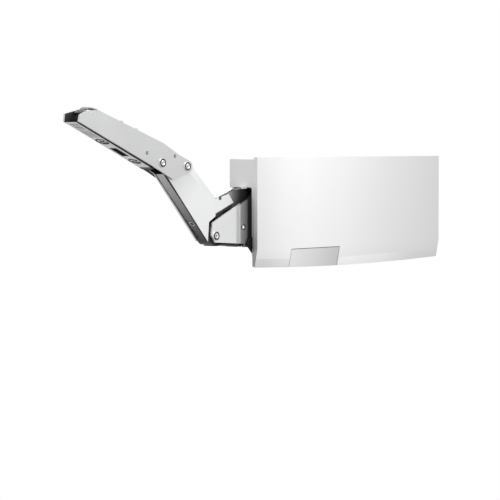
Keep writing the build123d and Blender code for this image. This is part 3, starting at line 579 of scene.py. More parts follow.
@dataclass(frozen=True)
class FadedSteel:
    """Steel whose painted light and shade fade from one place to another.

    It is painted black as shade past a layout X, and on the side that faces the viewer, where these are asked
    for. Where an edge is given, that edge is painted black as shade, and the bar's upper and front sides are
    painted bright as highlights.
    """

    name: str
    start: Spot
    end: Spot
    # The painted light and shade from start to end.
    stops: Stops
    metallic: float = 0.6
    roughness: float = 0.4
    texture: float = 900.0
    pore_tone: Stops = ((0.3, 0.84), (0.7, 1.0))
    pore_depth: float = 0.00006
    pore_share: float = 0.12
    # Painted shade along an edge, and painted highlights on the upper and front sides.
    edge: tuple[Spot, ...] = ()
    edge_width: float = 0.0
    edge_tone: Stops = ((0.55, 0.03), (1.0, 1.0))
    top_slope: float = 0.5
    front_slope: float = -0.6
    # Painted shadow past an X, and painted shade on the side facing the viewer.
    past: float | None = None
    past_level: float = 0.03
    dark_side: bool = False
    dark_level: float = 0.012
    side_slope: float = -0.7

    def make(self) -> bpy.types.Material:
        """Build the material.

        Returns:
            The material.
        """
        sheet = NodeSheet(bpy.data.materials.new(self.name))
        # Painted light and shade that fades from start to end.
        film = sheet.ramp(sheet.along(self.start, self.end), self.stops)
        pores = sheet.noise(sheet.coordinates(), self.texture, 3.0, 0.6)
        colour = sheet.tone(film, sheet.ramp(pores, self.pore_tone))
        # Painted shade along the edge, and painted highlights on the upper and front sides.
        if self.edge:
            colour = sheet.tone(colour, sheet.ramp(self.across_edge(sheet), self.edge_tone))
            colour = sheet.blend(sheet.facing("Z") > self.top_slope, colour, grey(1.0))
            colour = sheet.blend(sheet.facing("X") < self.front_slope, colour, grey(1.0))
        # Painted shadow past an X, and painted shade on the side that faces the viewer.
        if self.past is not None:
            colour = sheet.blend(sheet.past(self.past), colour, grey(self.past_level))
        if self.dark_side:
            colour = sheet.blend(sheet.facing("Y") < self.side_slope, colour, grey(self.dark_level))
        return sheet.finish(
            Base_Color=colour,
            Metallic=self.metallic,
            Roughness=sheet.around(self.roughness, (pores, self.pore_share)),
            Normal=sheet.bump(pores, 0.12, self.pore_depth),
        )

    def across_edge(self, sheet: NodeSheet) -> Wire:
        """Find how far a point lies in from the edge that is painted black as shade.

        Args:
            sheet: The material's nodes.

        Returns:
            The share of the edge's width, 0 to 1.
        """
        (x, z), (far_x, far_z) = self.edge
        size = math.hypot(far_x - x, far_z - z)
        inwards = ((far_z - z) / size * self.edge_width, (x - far_x) / size * self.edge_width)
        return sheet.along((x, z), (x + inwards[0], z + inwards[1]))


@dataclass(frozen=True)
class DarkCoat:
    """A dark coated or moulded surface with a soft uneven sheen."""

    name: str
    level: float
    roughness: float = 0.5
    metallic: float = 0.0
    warmth: float = -0.02
    darkest: float = 0.85
    lightest: float = 1.2
    cloud_scale: float = 60.0
    cloud_share: float = 0.14
    pore_scale: float = 1400.0
    pore_depth: float = 0.00008

    def make(self) -> bpy.types.Material:
        """Build the material.

        Returns:
            The material.
        """
        sheet = NodeSheet(bpy.data.materials.new(self.name))
        spot = sheet.coordinates()
        pores = sheet.noise(spot, self.pore_scale, 3.0, 0.55)
        cloud = sheet.noise(spot, self.cloud_scale, 2.0)
        dark, light = (grey(self.level * share, self.warmth) for share in (self.darkest, self.lightest))
        return sheet.finish(
            Base_Color=sheet.blend(cloud, dark, light),
            Metallic=self.metallic,
            Roughness=sheet.around(self.roughness, (cloud, self.cloud_share)),
            Normal=sheet.bump(pores, 0.15, self.pore_depth),
        )


@dataclass(frozen=True)
class PearlPlastic:
    """A silver pearl moulding: fine flakes under a soft satin skin.

    Its colour carries painted light and shade: it fades towards fade_end, along the cover's length or down the
    cap, as fade says. Faces that slope under fade as band says, as painted shade, and the front end fades
    downwards as skirt says, as painted shadow.
    """

    name: str
    level: float
    # Painted light and its falloff over the moulding.
    fade: Stops
    roughness: float = 0.36
    metallic: float = 0.25
    warmth: float = -0.002
    flake: float = 0.04
    flake_scale: float = 5200.0
    flake_share: float = 0.08
    skin_scale: float = 900.0
    skin_depth: float = 0.00003
    coat: float = 0.15
    coat_roughness: float = 0.25
    # Painted shade on faces that slope under, and down the front end.
    band: Stops = ()
    band_slope: float = -0.1
    skirt: Stops = ()
    skirt_slope: float = -0.7
    fade_end: Spot = (0.0, -80.0)
    skirt_end: Spot = (0.0, -90.0)

    def make(self) -> bpy.types.Material:
        """Build the material.

        Returns:
            The material.
        """
        sheet = NodeSheet(bpy.data.materials.new(self.name))
        spot = sheet.coordinates()
        flakes = sheet.noise(spot, self.flake_scale, 2.0, 0.7)
        skin = sheet.noise(spot, self.skin_scale, 2.0)
        dark, light = grey(self.level * (1 - self.flake), self.warmth), grey(self.level, self.warmth)
        colour = sheet.blend(flakes, dark, light)
        # Painted light and shade: toned towards fade_end, darker on faces that slope under and down the front
        # end.
        along = sheet.along((0.0, 0.0), self.fade_end)
        fade = sheet.ramp(along, self.fade)
        if self.band:
            fade = sheet.blend(sheet.facing("Z") < self.band_slope, fade, sheet.ramp(along, self.band))
        if self.skirt:
            down = sheet.ramp(sheet.along((0.0, 0.0), self.skirt_end), self.skirt)
            fade = sheet.blend(sheet.facing("X") < self.skirt_slope, fade, down)
        colour = sheet.tone(colour, fade)
        return sheet.finish(
            Base_Color=colour,
            Metallic=self.metallic,
            Roughness=sheet.around(self.roughness, (flakes, self.flake_share)),
            Coat_Weight=self.coat,
            Coat_Roughness=self.coat_roughness,
            Normal=sheet.bump(skin, 0.05, self.skin_depth),
        )


class Bench:
    """Edit-mode work on one piece at a time."""

    @staticmethod
    def clear() -> None:
        """Leave edit mode and deselect everything."""
        if bpy.context.object and bpy.context.object.mode != "OBJECT":
            bpy.ops.object.mode_set(mode="OBJECT")
        bpy.ops.object.select_all(action="DESELECT")

    @staticmethod
    def take(piece: bpy.types.Object) -> None:
        """Select one piece and make it active.

        Args:
            piece: The piece.
        """
        Bench.clear()
        piece.select_set(True)
        bpy.context.view_layer.objects.active = piece

    @staticmethod
    def edit(piece: bpy.types.Object, pick: Pick) -> None:
        """Open a piece in edit mode.

        Args:
            piece: The piece.
            pick: What is picked there; nothing is yet.
        """
        Bench.take(piece)
        bpy.ops.object.mode_set(mode="EDIT")
        bpy.ops.mesh.select_mode(type=pick.value)
        bpy.ops.mesh.select_all(action="DESELECT")

    @staticmethod
    def flat_sheet(name: str, long: float, wide: float) -> bpy.types.Object:
        """Lay out a flat rectangle and leave it open in edit mode, picked all over.

        Args:
            name: The new piece's name.
            long: Its size along X, mm.
            wide: Its size along Y, mm.

        Returns:
            The rectangle.
        """
        Bench.clear()
        bpy.ops.mesh.primitive_plane_add(size=1.0)
        piece = bpy.context.object
        piece.name = name
        bpy.ops.object.mode_set(mode="EDIT")
        size = (long * MILLIMETRE, wide * MILLIMETRE, 1.0)
        bpy.ops.transform.resize(value=size, center_override=(0.0, 0.0, 0.0))
        return piece

    @staticmethod
    def raise_all(height: float) -> None:
        """Pull everything up into a wall, in edit mode.

        Args:
            height: The wall's height, mm.
        """
        bpy.ops.mesh.select_all(action="SELECT")
        bpy.ops.mesh.extrude_region_move(TRANSFORM_OT_translate={"value": (0.0, 0.0, height * MILLIMETRE)})

    @staticmethod
    def seal() -> None:
        """Turn every face outwards and leave edit mode."""
        bpy.ops.mesh.select_all(action="SELECT")
        bpy.ops.mesh.normals_make_consistent(inside=False)
        bpy.ops.object.mode_set(mode="OBJECT")

    @staticmethod
    def pick_faces(piece: bpy.types.Object, test: Callable[[bpy.types.MeshPolygon], bool]) -> None:
        """Select the faces that pass a test, in edit mode.

        Args:
            piece: The piece in edit mode.
            test: Says whether a face is wanted.
        """
        bpy.ops.mesh.select_all(action="DESELECT")
        bpy.ops.object.mode_set(mode="OBJECT")
        for face in piece.data.polygons:
            face.select = test(face)
        bpy.ops.object.mode_set(mode="EDIT")

    @staticmethod
    def apply(piece: bpy.types.Object, modifier: bpy.types.Modifier) -> None:
        """Make a piece's modifier part of its mesh."""
        Bench.take(piece)
        bpy.ops.object.modifier_apply(modifier=modifier.name)

    @staticmethod
    def settle(piece: bpy.types.Object) -> None:
        """Move a piece's place into its mesh and leave its object at the origin."""
        Bench.take(piece)
        bpy.ops.object.transform_apply(location=True, rotation=True, scale=True)

    @staticmethod
    def soften(piece: bpy.types.Object, width: float, segments: int = 2) -> None:
        """Bevel a piece's sharp edges and shade it.

        Args:
            piece: The piece.
            width: The bevel's width, mm.
            segments: Steps across the bevel.
        """
        bevel = piece.modifiers.new("edge", "BEVEL")
        bevel.width = width * MILLIMETRE
        bevel.segments = segments
        bevel.limit_method = "ANGLE"
        bevel.angle_limit = EDGE_ANGLE
        bevel.use_clamp_overlap = True
        bevel.harden_normals = False
        Bench.apply(piece, bevel)
        bpy.ops.object.shade_smooth_by_angle(angle=EDGE_ANGLE)
        even = piece.modifiers.new("even_shade", "WEIGHTED_NORMAL")
        even.weight = 100
        even.keep_sharp = True
        Bench.apply(piece, even)


class Fitter:
    """Puts finished pieces on the frame: material, body and the node that they stand for."""

    def __init__(self) -> None:
        """Read which body and slot each node has."""
        record = frame["record"]
        self.body = {node: body for body, nodes in record["behaviour"]["bodies"].items() for node in nodes}
        self.slots = {part["node"]: part["material_slot"] for part in record["subparts"]}

    def carry(
        self,
        piece: bpy.types.Object,
        node: str,
        finish: bpy.types.Material,
        slot: Slot = Slot.OWN,
    ) -> None:
        """Fit a piece to a node: its material and its body.

        Args:
            piece: The finished piece.
            node: The CAD node whose body it takes.
            finish: Its material.
            slot: Its slot. With the node's own it stands for the node, and with another it is added to it.
        """
        piece.data.materials.clear()
        piece.data.materials.append(finish)
        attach(piece, self.body[node])
        if slot is Slot.OWN:
            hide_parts(node)
        LOG.info("%s rides on %s", piece.name, self.body[node])

    def refined(
        self,
        node: str,
        name: str,
        finish: bpy.types.Material,
        width: float,
        segments: int = 2,
        slot: Slot = Slot.OWN,
    ) -> bpy.types.Object:
        """Make a clean copy of a node with rounded edges.

        Args:
            node: The CAD node to copy.
            name: The new piece's name.
            finish: Its material.
            width: The rounding of its edges, mm.
            segments: Steps across the rounding.
            slot: Its slot. With the node's own it stands for the node, and with another it is added to it.

        Returns:
            The piece, fitted in the node's place.
        """
        source = frame["nodes"][node]
        piece = source.copy()
        piece.data = source.data.copy()
        piece.name = name
        piece.data.name = name
        del piece["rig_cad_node"]
        piece.parent = None
        piece.matrix_world = Matrix.Identity(4)
        bpy.context.scene.collection.objects.link(piece)
        Bench.edit(piece, Pick.POINTS)
        bpy.ops.mesh.select_all(action="SELECT")
        bpy.ops.mesh.customdata_custom_splitnormals_clear()
        bpy.ops.mesh.remove_doubles(threshold=MERGE_DISTANCE)
        bpy.ops.mesh.dissolve_limited(angle_limit=FLAT_ANGLE, delimit={"NORMAL"})
        bpy.ops.object.mode_set(mode="OBJECT")
        Bench.soften(piece, width, segments)
        self.carry(piece, node, finish, slot)
        return piece


class Finishes:
    """Every finish of the mechanism, made once."""

    def __init__(self) -> None:
        """Build the materials, group by group."""
        self.arm_steels()
        self.plain_steels()
        self.shaded_steels()
        self.dark_coats()
        self.cover_finishes()

    def arm_steels(self) -> None:
        """Build the bright plated steel of the arms and levers, painted dark as shade between their cheeks."""
        grained = {"grain_turn": -0.8, "roughness": 0.36}
        # Painted shade inside the cheeks, darker still on the far cheek's lower cut edges.
        self.arm = RolledSteel(
            "satin_nickel_arm",
            0.585,
            grain_turn=LAYOUT.arm_slope,
            roughness=0.36,
            clear=LAYOUT.front_clear,
            shade_grey=0.13,
            far_cut=True,
        ).make()
        # Painted shade inside the cheeks, and painted shadow past the housing's edge.
        self.lever = RolledSteel(
            "satin_nickel_lever",
            0.74,
            grain_turn=-0.4,
            clear=LAYOUT.lever_clear,
            past=LAYOUT.lever_shadow,
        ).make()
        self.link = RolledSteel("satin_nickel_link", 0.82, **grained).make()
        # Painted light and shade inside the cheeks and down the core, a painted shadow near the top, and
        # painted shade on the near cheek's lower cut edges.
        self.outer = RolledSteel(
            "satin_nickel_outer",
            0.82,
            clear=LAYOUT.outer_clear,
            film=((0.0, 0.03), (0.1, 0.03), (0.16, 1.0), (0.6, 0.9), (1.0, 0.4)),
            shade=((0.0, 0.74), (0.15, 0.80), (0.5, 1.0), (1.0, 1.0)),
            near_cut=True,
            **grained,
        ).make()
        # The pins are painted dark as shade between the cheeks.
        self.pin = RolledSteel("lever_pin_steel", 0.76, roughness=0.25, clear=LAYOUT.lever_clear).make()

    def plain_steels(self) -> None:
        """Build the steel and die-cast metal that has no painted shade on it."""
        self.plate = RolledSteel("zinc_plate", 0.52, warmth=-0.015, roughness=0.42, spread=0.10).make()
        self.hard = RolledSteel("ground_steel", 0.38, roughness=0.28, spread=0.06).make()
        self.rivet = RolledSteel("bright_rivet", 0.80, roughness=0.25).make()
        self.cast = RolledSteel("die_cast_grey", 0.42, metallic=0.5, roughness=0.42, spread=0.10).make()
        self.spring = RolledSteel("oiled_spring", 0.18, roughness=0.32, spread=0.1).make()

    def shaded_steels(self) -> None:
        """Build the steel whose painted light and shade fade along or into the piece."""
        into_slot = (LAYOUT.into_tray(LAYOUT.tray_slot, 0.0), LAYOUT.into_tray(LAYOUT.tray_slot, 2.0))
        # Painted shade into the tray's slot, the screw's recess and the latch's tip.
        tray = ((0.0, 0.82), (0.10, 0.82), (0.2, 0.06), (0.5, 0.05))
        screw = ((0.0, 0.75), (0.20, 0.75), (0.32, 0.02))
        latch = ((0.0, 0.12), (0.25, 0.30), (0.45, 0.60), (1.0, 0.66))
        # Painted light and shade: the core lit at its top and shaded at its foot.
        core = ((0.0, 0.56), (0.45, 0.32), (1.0, 0.06))
        # Painted shade: the control lever and the cam plates fade to black into the housing.
        control = ((0.0, 0.60), (0.35, 0.39), (0.6, 0.17), (1.0, 0.035))
        cam = ((0.0, 0.66), (0.03, 0.62), (0.12, 0.27), (0.75, 0.15), (0.92, 0.012))
        # Painted shade along the control lever's notched edge.
        shaded_edge = {"edge": LAYOUT.control_edge, "edge_width": 1.4}
        down_core = (LAYOUT.core_top, LAYOUT.core_foot)
        # Painted shadow on the tray past its shadow line.
        cast = {"metallic": 0.4, "past": LAYOUT.tray_shadow}
        self.tray = FadedSteel("die_cast_tray", *into_slot, tray, **cast).make()
        self.screw = FadedSteel("crossed_screw", *into_slot, screw, metallic=0.8).make()
        self.latch = FadedSteel("spring_latch", *LAYOUT.latch_fade, latch, metallic=0.8).make()
        # The core's side that faces the viewer is painted black as shade.
        self.core = FadedSteel("core_painted_shade", *down_core, core, dark_side=True).make()
        self.control = FadedSteel("control_painted_shade", *LAYOUT.control_fade, control, **shaded_edge).make()
        self.cam = FadedSteel("cam_painted_shade", *LAYOUT.cam_fade, cam, metallic=0.8).make()

    def dark_coats(self) -> None:
        """Build the dark coatings, and the black for mouldings and for the pieces of painted shade."""
        self.dark = DarkCoat("dark_coated_steel", 0.035, roughness=0.42, metallic=0.3).make()
        self.black = DarkCoat("black_moulding", 0.02, roughness=0.55).make()
        self.nose_shade = DarkCoat("nose_shade_black", 0.012, roughness=0.4, metallic=0.9).make()

    def cover_finishes(self) -> None:
        """Build the cover's pearl, the cap's matt moulding and the bare plate's silk, each with painted light
        and shade.
        """
        self.cover = PearlPlastic(
            "pearl_cover",
            0.95,
            # Painted highlight and its falloff along the cover; band and skirt paint shade.
            fade=(
                (0.02, 0.77),
                (0.14, 0.88),
                (0.25, 0.92),
                (0.46, 0.90),
                (0.68, 0.835),
                (0.85, 0.795),
                (0.98, 0.76),
            ),
            band=(
                (0.04, 0.68),
                (0.14, 0.80),
                (0.35, 0.95),
                (0.49, 1.0),
                (0.68, 0.92),
                (0.85, 0.77),
                (1.0, 0.73),
            ),
            skirt=((0.1, 0.70), (0.37, 0.79), (0.65, 0.64), (0.83, 0.38), (0.92, 0.31)),
            fade_end=(LAYOUT.cover_length, 0.0),
        ).make()
        self.cap = PearlPlastic(
            "cap_moulding",
            0.72,
            # Painted shade, darker towards the bottom of the cap.
            fade=((0.0, 0.96), (0.3, 0.96), (0.45, 0.68), (0.75, 0.46), (0.9, 0.30), (1.0, 0.22)),
            roughness=0.45,
            metallic=0.0,
            flake=0.02,
            coat=0.0,
        ).make()
        silk = {"metallic": 0.4, "roughness": 0.3, "texture": 3000.0}
        # Painted sheen, falling off along the plate.
        plate = ((0.0, 0.92), (0.5, 0.80), (1.0, 0.64))
        self.badge = FadedSteel("satin_badge", *LAYOUT.badge_fade, plate, **silk).make()


@dataclass(frozen=True)
class ShadeRing:
    """A dark ring of painted shade that sits in the groove round a rivet or a staked pin."""

    inner: float
    outer: float
    height: float
    steps: int = 40
    edge_share: float = 0.35

    def build(
        self,
        name: str,
        spot: Spot,
        depth: float,
        facing: Sequence[float],
    ) -> bpy.types.Object:
        """Make one ring on its seat.

        Args:
            name: The piece's name.
            spot: X and Z of its middle, mm.
            depth: Depth of its middle, mm.
            facing: The direction that it faces, in the frame's axes.

        Returns:
            The ring.
        """
        Bench.clear()
        bpy.ops.mesh.primitive_circle_add(vertices=self.steps, radius=self.inner * MILLIMETRE)
        ring = bpy.context.object
        ring.name = name
        grow = self.outer / self.inner
        down = (0.0, 0.0, -self.height * MILLIMETRE)
        Bench.edit(ring, Pick.EDGES)
        Bench.raise_all(self.height)
        bpy.ops.mesh.extrude_region()
        bpy.ops.transform.resize(value=(grow, grow, 1.0), center_override=(0.0, 0.0, 0.0))
        bpy.ops.mesh.extrude_region_move(TRANSFORM_OT_translate={"value": down})
        bpy.ops.mesh.select_all(action="SELECT")
        bpy.ops.mesh.region_to_loop()
        bpy.ops.mesh.bridge_edge_loops()
        Bench.seal()
        ring.rotation_euler = Vector(facing).to_track_quat("Z", "Y").to_euler()
        ring.location = LAYOUT.place(*spot, depth)
        Bench.settle(ring)
        Bench.soften(ring, self.height * self.edge_share)
        return ring


@dataclass
class Assembly:
    """What the sub-assemblies share: the fitter, the finishes and the rings of painted shade at their rivets.
    """

    fitter: Fitter
    finishes: Finishes
    groove: ShadeRing = ShadeRing(2.2, 3.4, 0.5)
    groove_proud: float = 0.45
    dimple: ShadeRing = ShadeRing(0.2, 0.6, 0.2)
    dimple_proud: float = 0.5

    def build(self) -> None:
        """Make and fit the pieces; each sub-assembly has its own way."""
        raise NotImplementedError

    def oil(
        self,
        ring: ShadeRing,
        name: str,
        node: str,
        spot: Spot,
        depth: float,
        facing: Sequence[float] = Side.NEAR.outwards,
    ) -> None:
        """Make one dark ring of painted shade and add it to a node.

        Args:
            ring: The ring.
            name: The piece's name.
            node: The CAD node that it is added to.
            spot: X and Z of its middle, mm.
            depth: Depth of its middle, mm.
            facing: The direction that it faces, in the frame's axes.
        """
        piece = ring.build(name, spot, depth, facing)
        self.fitter.carry(piece, node, self.finishes.black, Slot.DARK_STEEL)

    def rivet_oil(self, name: str, node: str, spot: Spot, width: float, side: Side) -> None:
        """Fill the groove and the centre mark of a rivet's head with painted shade.

        Args:
            name: The rivet's name.
            node: The rivet's CAD node.
            spot: X and Z of its middle, mm.
            width: The width of the sheet metal that it goes through, mm.
            side: The side that the head is on.
        """
        for ring, part, proud in (
            (self.groove, "oil", self.groove_proud),
            (self.dimple, "dimple", self.dimple_proud),
        ):
            depth = side.face(width, proud)
            self.oil(ring, f"{name}_{part}_{side.label}", node, spot, depth, side.outwards)


@dataclass
class Housing(Assembly):
    """The covered housing that screws to the cabinet wall."""

    cover_edge: float = 0.55
    cover_steps: int = 3
    cap_edge: float = 0.3
    plate_edge: float = 0.18
    turned_edge: float = 0.15
    # A dark copy of the band plate fills the gap round it, as painted shade.
    gap_shade_edge: float = 0.05
    gap_shade_width: float = 0.45
    gap_shade_sink: float = 0.2
    # A thin dark plate at the near plate's front corner, as painted shade.
    nose_long: float = 7.5
    nose_tall: float = 12.5
    nose_thick: float = 0.8
    nose_depth: float = 22.9
    nose_foot: float = -77.0
    nose_edge: float = 0.1
    nose_cuts: tuple[tuple[Spot, Spot], ...] = (
        ((-1.75, 4.25), (-2.0, 1.0)),
        ((-3.75, 0.25), (-6.5, -7.5)),
        ((-1.75, 4.25), (-2.0, 5.5)),
    )

    def build(self) -> None:
        """Make and fit the housing's pieces."""
        looks = self.finishes
        self.fitter.refined("cover", "cover_shell", looks.cover, self.cover_edge, self.cover_steps)
        self.badge_gap_shade()
        self.fitter.refined("badge_plate", "band_plate", looks.badge, self.turned_edge)
        self.fitter.refined("front_cap", "end_cap", looks.cap, self.cap_edge)
        for node in ("mounting_plate", "frame_plate"):
            self.fitter.refined(node, node + "_sheet", looks.plate, self.plate_edge, 1)
        for node, finish in (
            ("frame_posts", looks.plate),
            ("lever_stubs", looks.hard),
            ("control_axle", looks.hard),
            ("control_bushes", looks.black),
            ("spindle_bearing", looks.black),
            ("damper_cylinder", looks.black),
        ):
            self.fitter.refined(node, node + "_turned", finish, self.turned_edge, 1)
        # The nose plate is painted black as shade.
        self.fitter.carry(self.plate_nose(), "frame_plate", looks.nose_shade, Slot.DARK_STEEL)

    def plate_nose(self) -> bpy.types.Object:
        """Bring the near plate's lower front corner forward past the cap's strip, as a thin dark plate of
        painted shade.

        Returns:
            The plate.
        """
        nose = Bench.flat_sheet("near_plate_nose", self.nose_long, self.nose_tall)
        for (x, z), outwards in self.nose_cuts:
            bpy.ops.mesh.select_all(action="SELECT")
            corner = (x * MILLIMETRE, z * MILLIMETRE, 0.0)
            bpy.ops.mesh.bisect(plane_co=corner, plane_no=(*outwards, 0.0), clear_outer=True)
        Bench.raise_all(self.nose_thick)
        Bench.seal()
        nose.rotation_euler = (math.pi / 2, 0.0, 0.0)
        middle_x, middle_z = -self.nose_long / 2, self.nose_foot + self.nose_tall / 2
        nose.location = LAYOUT.place(middle_x, middle_z, self.nose_depth)
        Bench.settle(nose)
        Bench.soften(nose, self.nose_edge, 1)
        return nose

    def badge_gap_shade(self) -> None:
        """Fill the gap round the plate in the band with painted shade: a dark copy, a little larger and deeper
        than it.
        """
        low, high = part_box("badge_plate")
        black, edge = self.finishes.black, self.gap_shade_edge
        gap_shade = self.fitter.refined("badge_plate", "band_plate_gap_shade", black, edge, 1, Slot.MOULDING)
        long, tall = high[0] - low[0], high[2] - low[2]
        grow = 2 * self.gap_shade_width * MILLIMETRE
        foot = ((low[0] + high[0]) / 2, (low[1] + high[1]) / 2, low[2])
        Bench.edit(gap_shade, Pick.POINTS)
        bpy.ops.mesh.select_all(action="SELECT")
        bpy.ops.transform.resize(value=(1 + grow / long, 1.0, 1 + grow / 2 / tall), center_override=foot)
        bpy.ops.transform.translate(value=(0.0, self.gap_shade_sink * MILLIMETRE, 0.0))
        bpy.ops.object.mode_set(mode="OBJECT")


@dataclass
class LeverChain(Assembly):
    """The main lever, the outer and inner arms and the control lever."""

    sheet_edge: float = 0.3
    pin_edge: float = 0.12
    web_ring: ShadeRing = ShadeRing(1.6, 2.4, 0.3)
    web_ring_proud: float = -0.25
    pin_ring: ShadeRing = ShadeRing(0.6, 1.6, 0.3)
    socket: ShadeRing = ShadeRing(0.1, 1.5, 0.15)
    lip_foot: Spot = (-32.6, -69.6)
    lip_thick: float = 0.8
    lip_gap: float = 0.1
    lip_edge: float = 0.12
    lip_folds: tuple[Spot, ...] = ((0.3, 1.5), (0.7, 1.3))

    def build(self) -> None:
        """Make and fit the levers."""
        looks = self.finishes
        for node, name, finish in (
            ("lever_cheeks", "lever_cheek_pair", looks.lever),
            ("outer_arm_cheeks", "outer_cheek_pair", looks.outer),
            ("inner_arm", "inner_arm_plates", looks.dark),
            ("inner_arm_face", "inner_arm_cover", looks.link),
            ("cam_plates", "cam_pair", looks.cam),
            ("lever_web", "lever_strip", looks.dark),
            ("arm_core", "outer_arm_core", looks.core),
            ("control_lever", "control_lever_bar", looks.control),
        ):
            self.fitter.refined(node, name, finish, self.sheet_edge)
        for node, finish in (
            ("lever_pins", looks.pin),
            ("web_rivets", looks.rivet),
            ("control_pins", looks.hard),
            ("core_screw", looks.plate),
        ):
            self.fitter.refined(node, node + "_set", finish, self.pin_edge)
        self.shade_rings()
        self.fitter.carry(self.screw_socket(), "core_screw", looks.black, Slot.DARK_STEEL)
        self.fitter.carry(self.strip_lip(), "lever_web", looks.dark, Slot.DARK_STEEL)

    def shade_rings(self) -> None:
        """Fill the grooves of the headed pin and the web's rivets, and the edge of the stop pin, with painted
        shade.
        """
        for side in Side:
            self.rivet_oil("foot_rivet", "lever_pins", LAYOUT.outer_foot, LAYOUT.lever_width, side)
            name, depth = f"web_rivet_oil_{side.label}", side.face(LAYOUT.cam_width, self.web_ring_proud)
            self.oil(self.web_ring, name, "web_rivets", LAYOUT.web_rivet, depth, side.outwards)
        self.oil(self.pin_ring, "pin_end_oil", "inner_arm_face", LAYOUT.pin_end, LAYOUT.face_depth)

    def screw_socket(self) -> bpy.types.Object:
        """Fill the driving recess of the screw in the outer arm's core with a dark ring of painted shade.

        Returns:
            The painted shade.
        """
        (x, z), (far_x, far_z) = LAYOUT.core_top, LAYOUT.core_foot
        out = Vector((far_z - z, 0.0, x - far_x)).normalized()
        low, high = (Vector(corner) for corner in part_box("core_screw"))
        middle = (low + high) / 2
        head = max(vertex.co.dot(out) for vertex in frame["nodes"]["core_screw"].data.vertices)
        middle += out * (head - middle.dot(out))
        socket = self.socket.build("core_screw_oil", LAYOUT.core_top, 0.0, out)
        socket.data.transform(Matrix.Translation(middle - LAYOUT.place(*LAYOUT.core_top, 0.0)))
        return socket

    def strip_lip(self) -> bpy.types.Object:
        """Turn up the front edge of the dark strip between the cheeks.

        Returns:
            The lip.
        """
        lip = Bench.flat_sheet("strip_lip", self.lip_thick, LAYOUT.lever_clear - 2 * self.lip_gap)
        for shift, rise in self.lip_folds:
            fold = (shift * MILLIMETRE, 0.0, rise * MILLIMETRE)
            bpy.ops.mesh.extrude_region_move(TRANSFORM_OT_translate={"value": fold})
        Bench.seal()
        lip.location = LAYOUT.place(*self.lip_foot, LAYOUT.middle)
        Bench.settle(lip)
        Bench.soften(lip, self.lip_edge)
        return lip


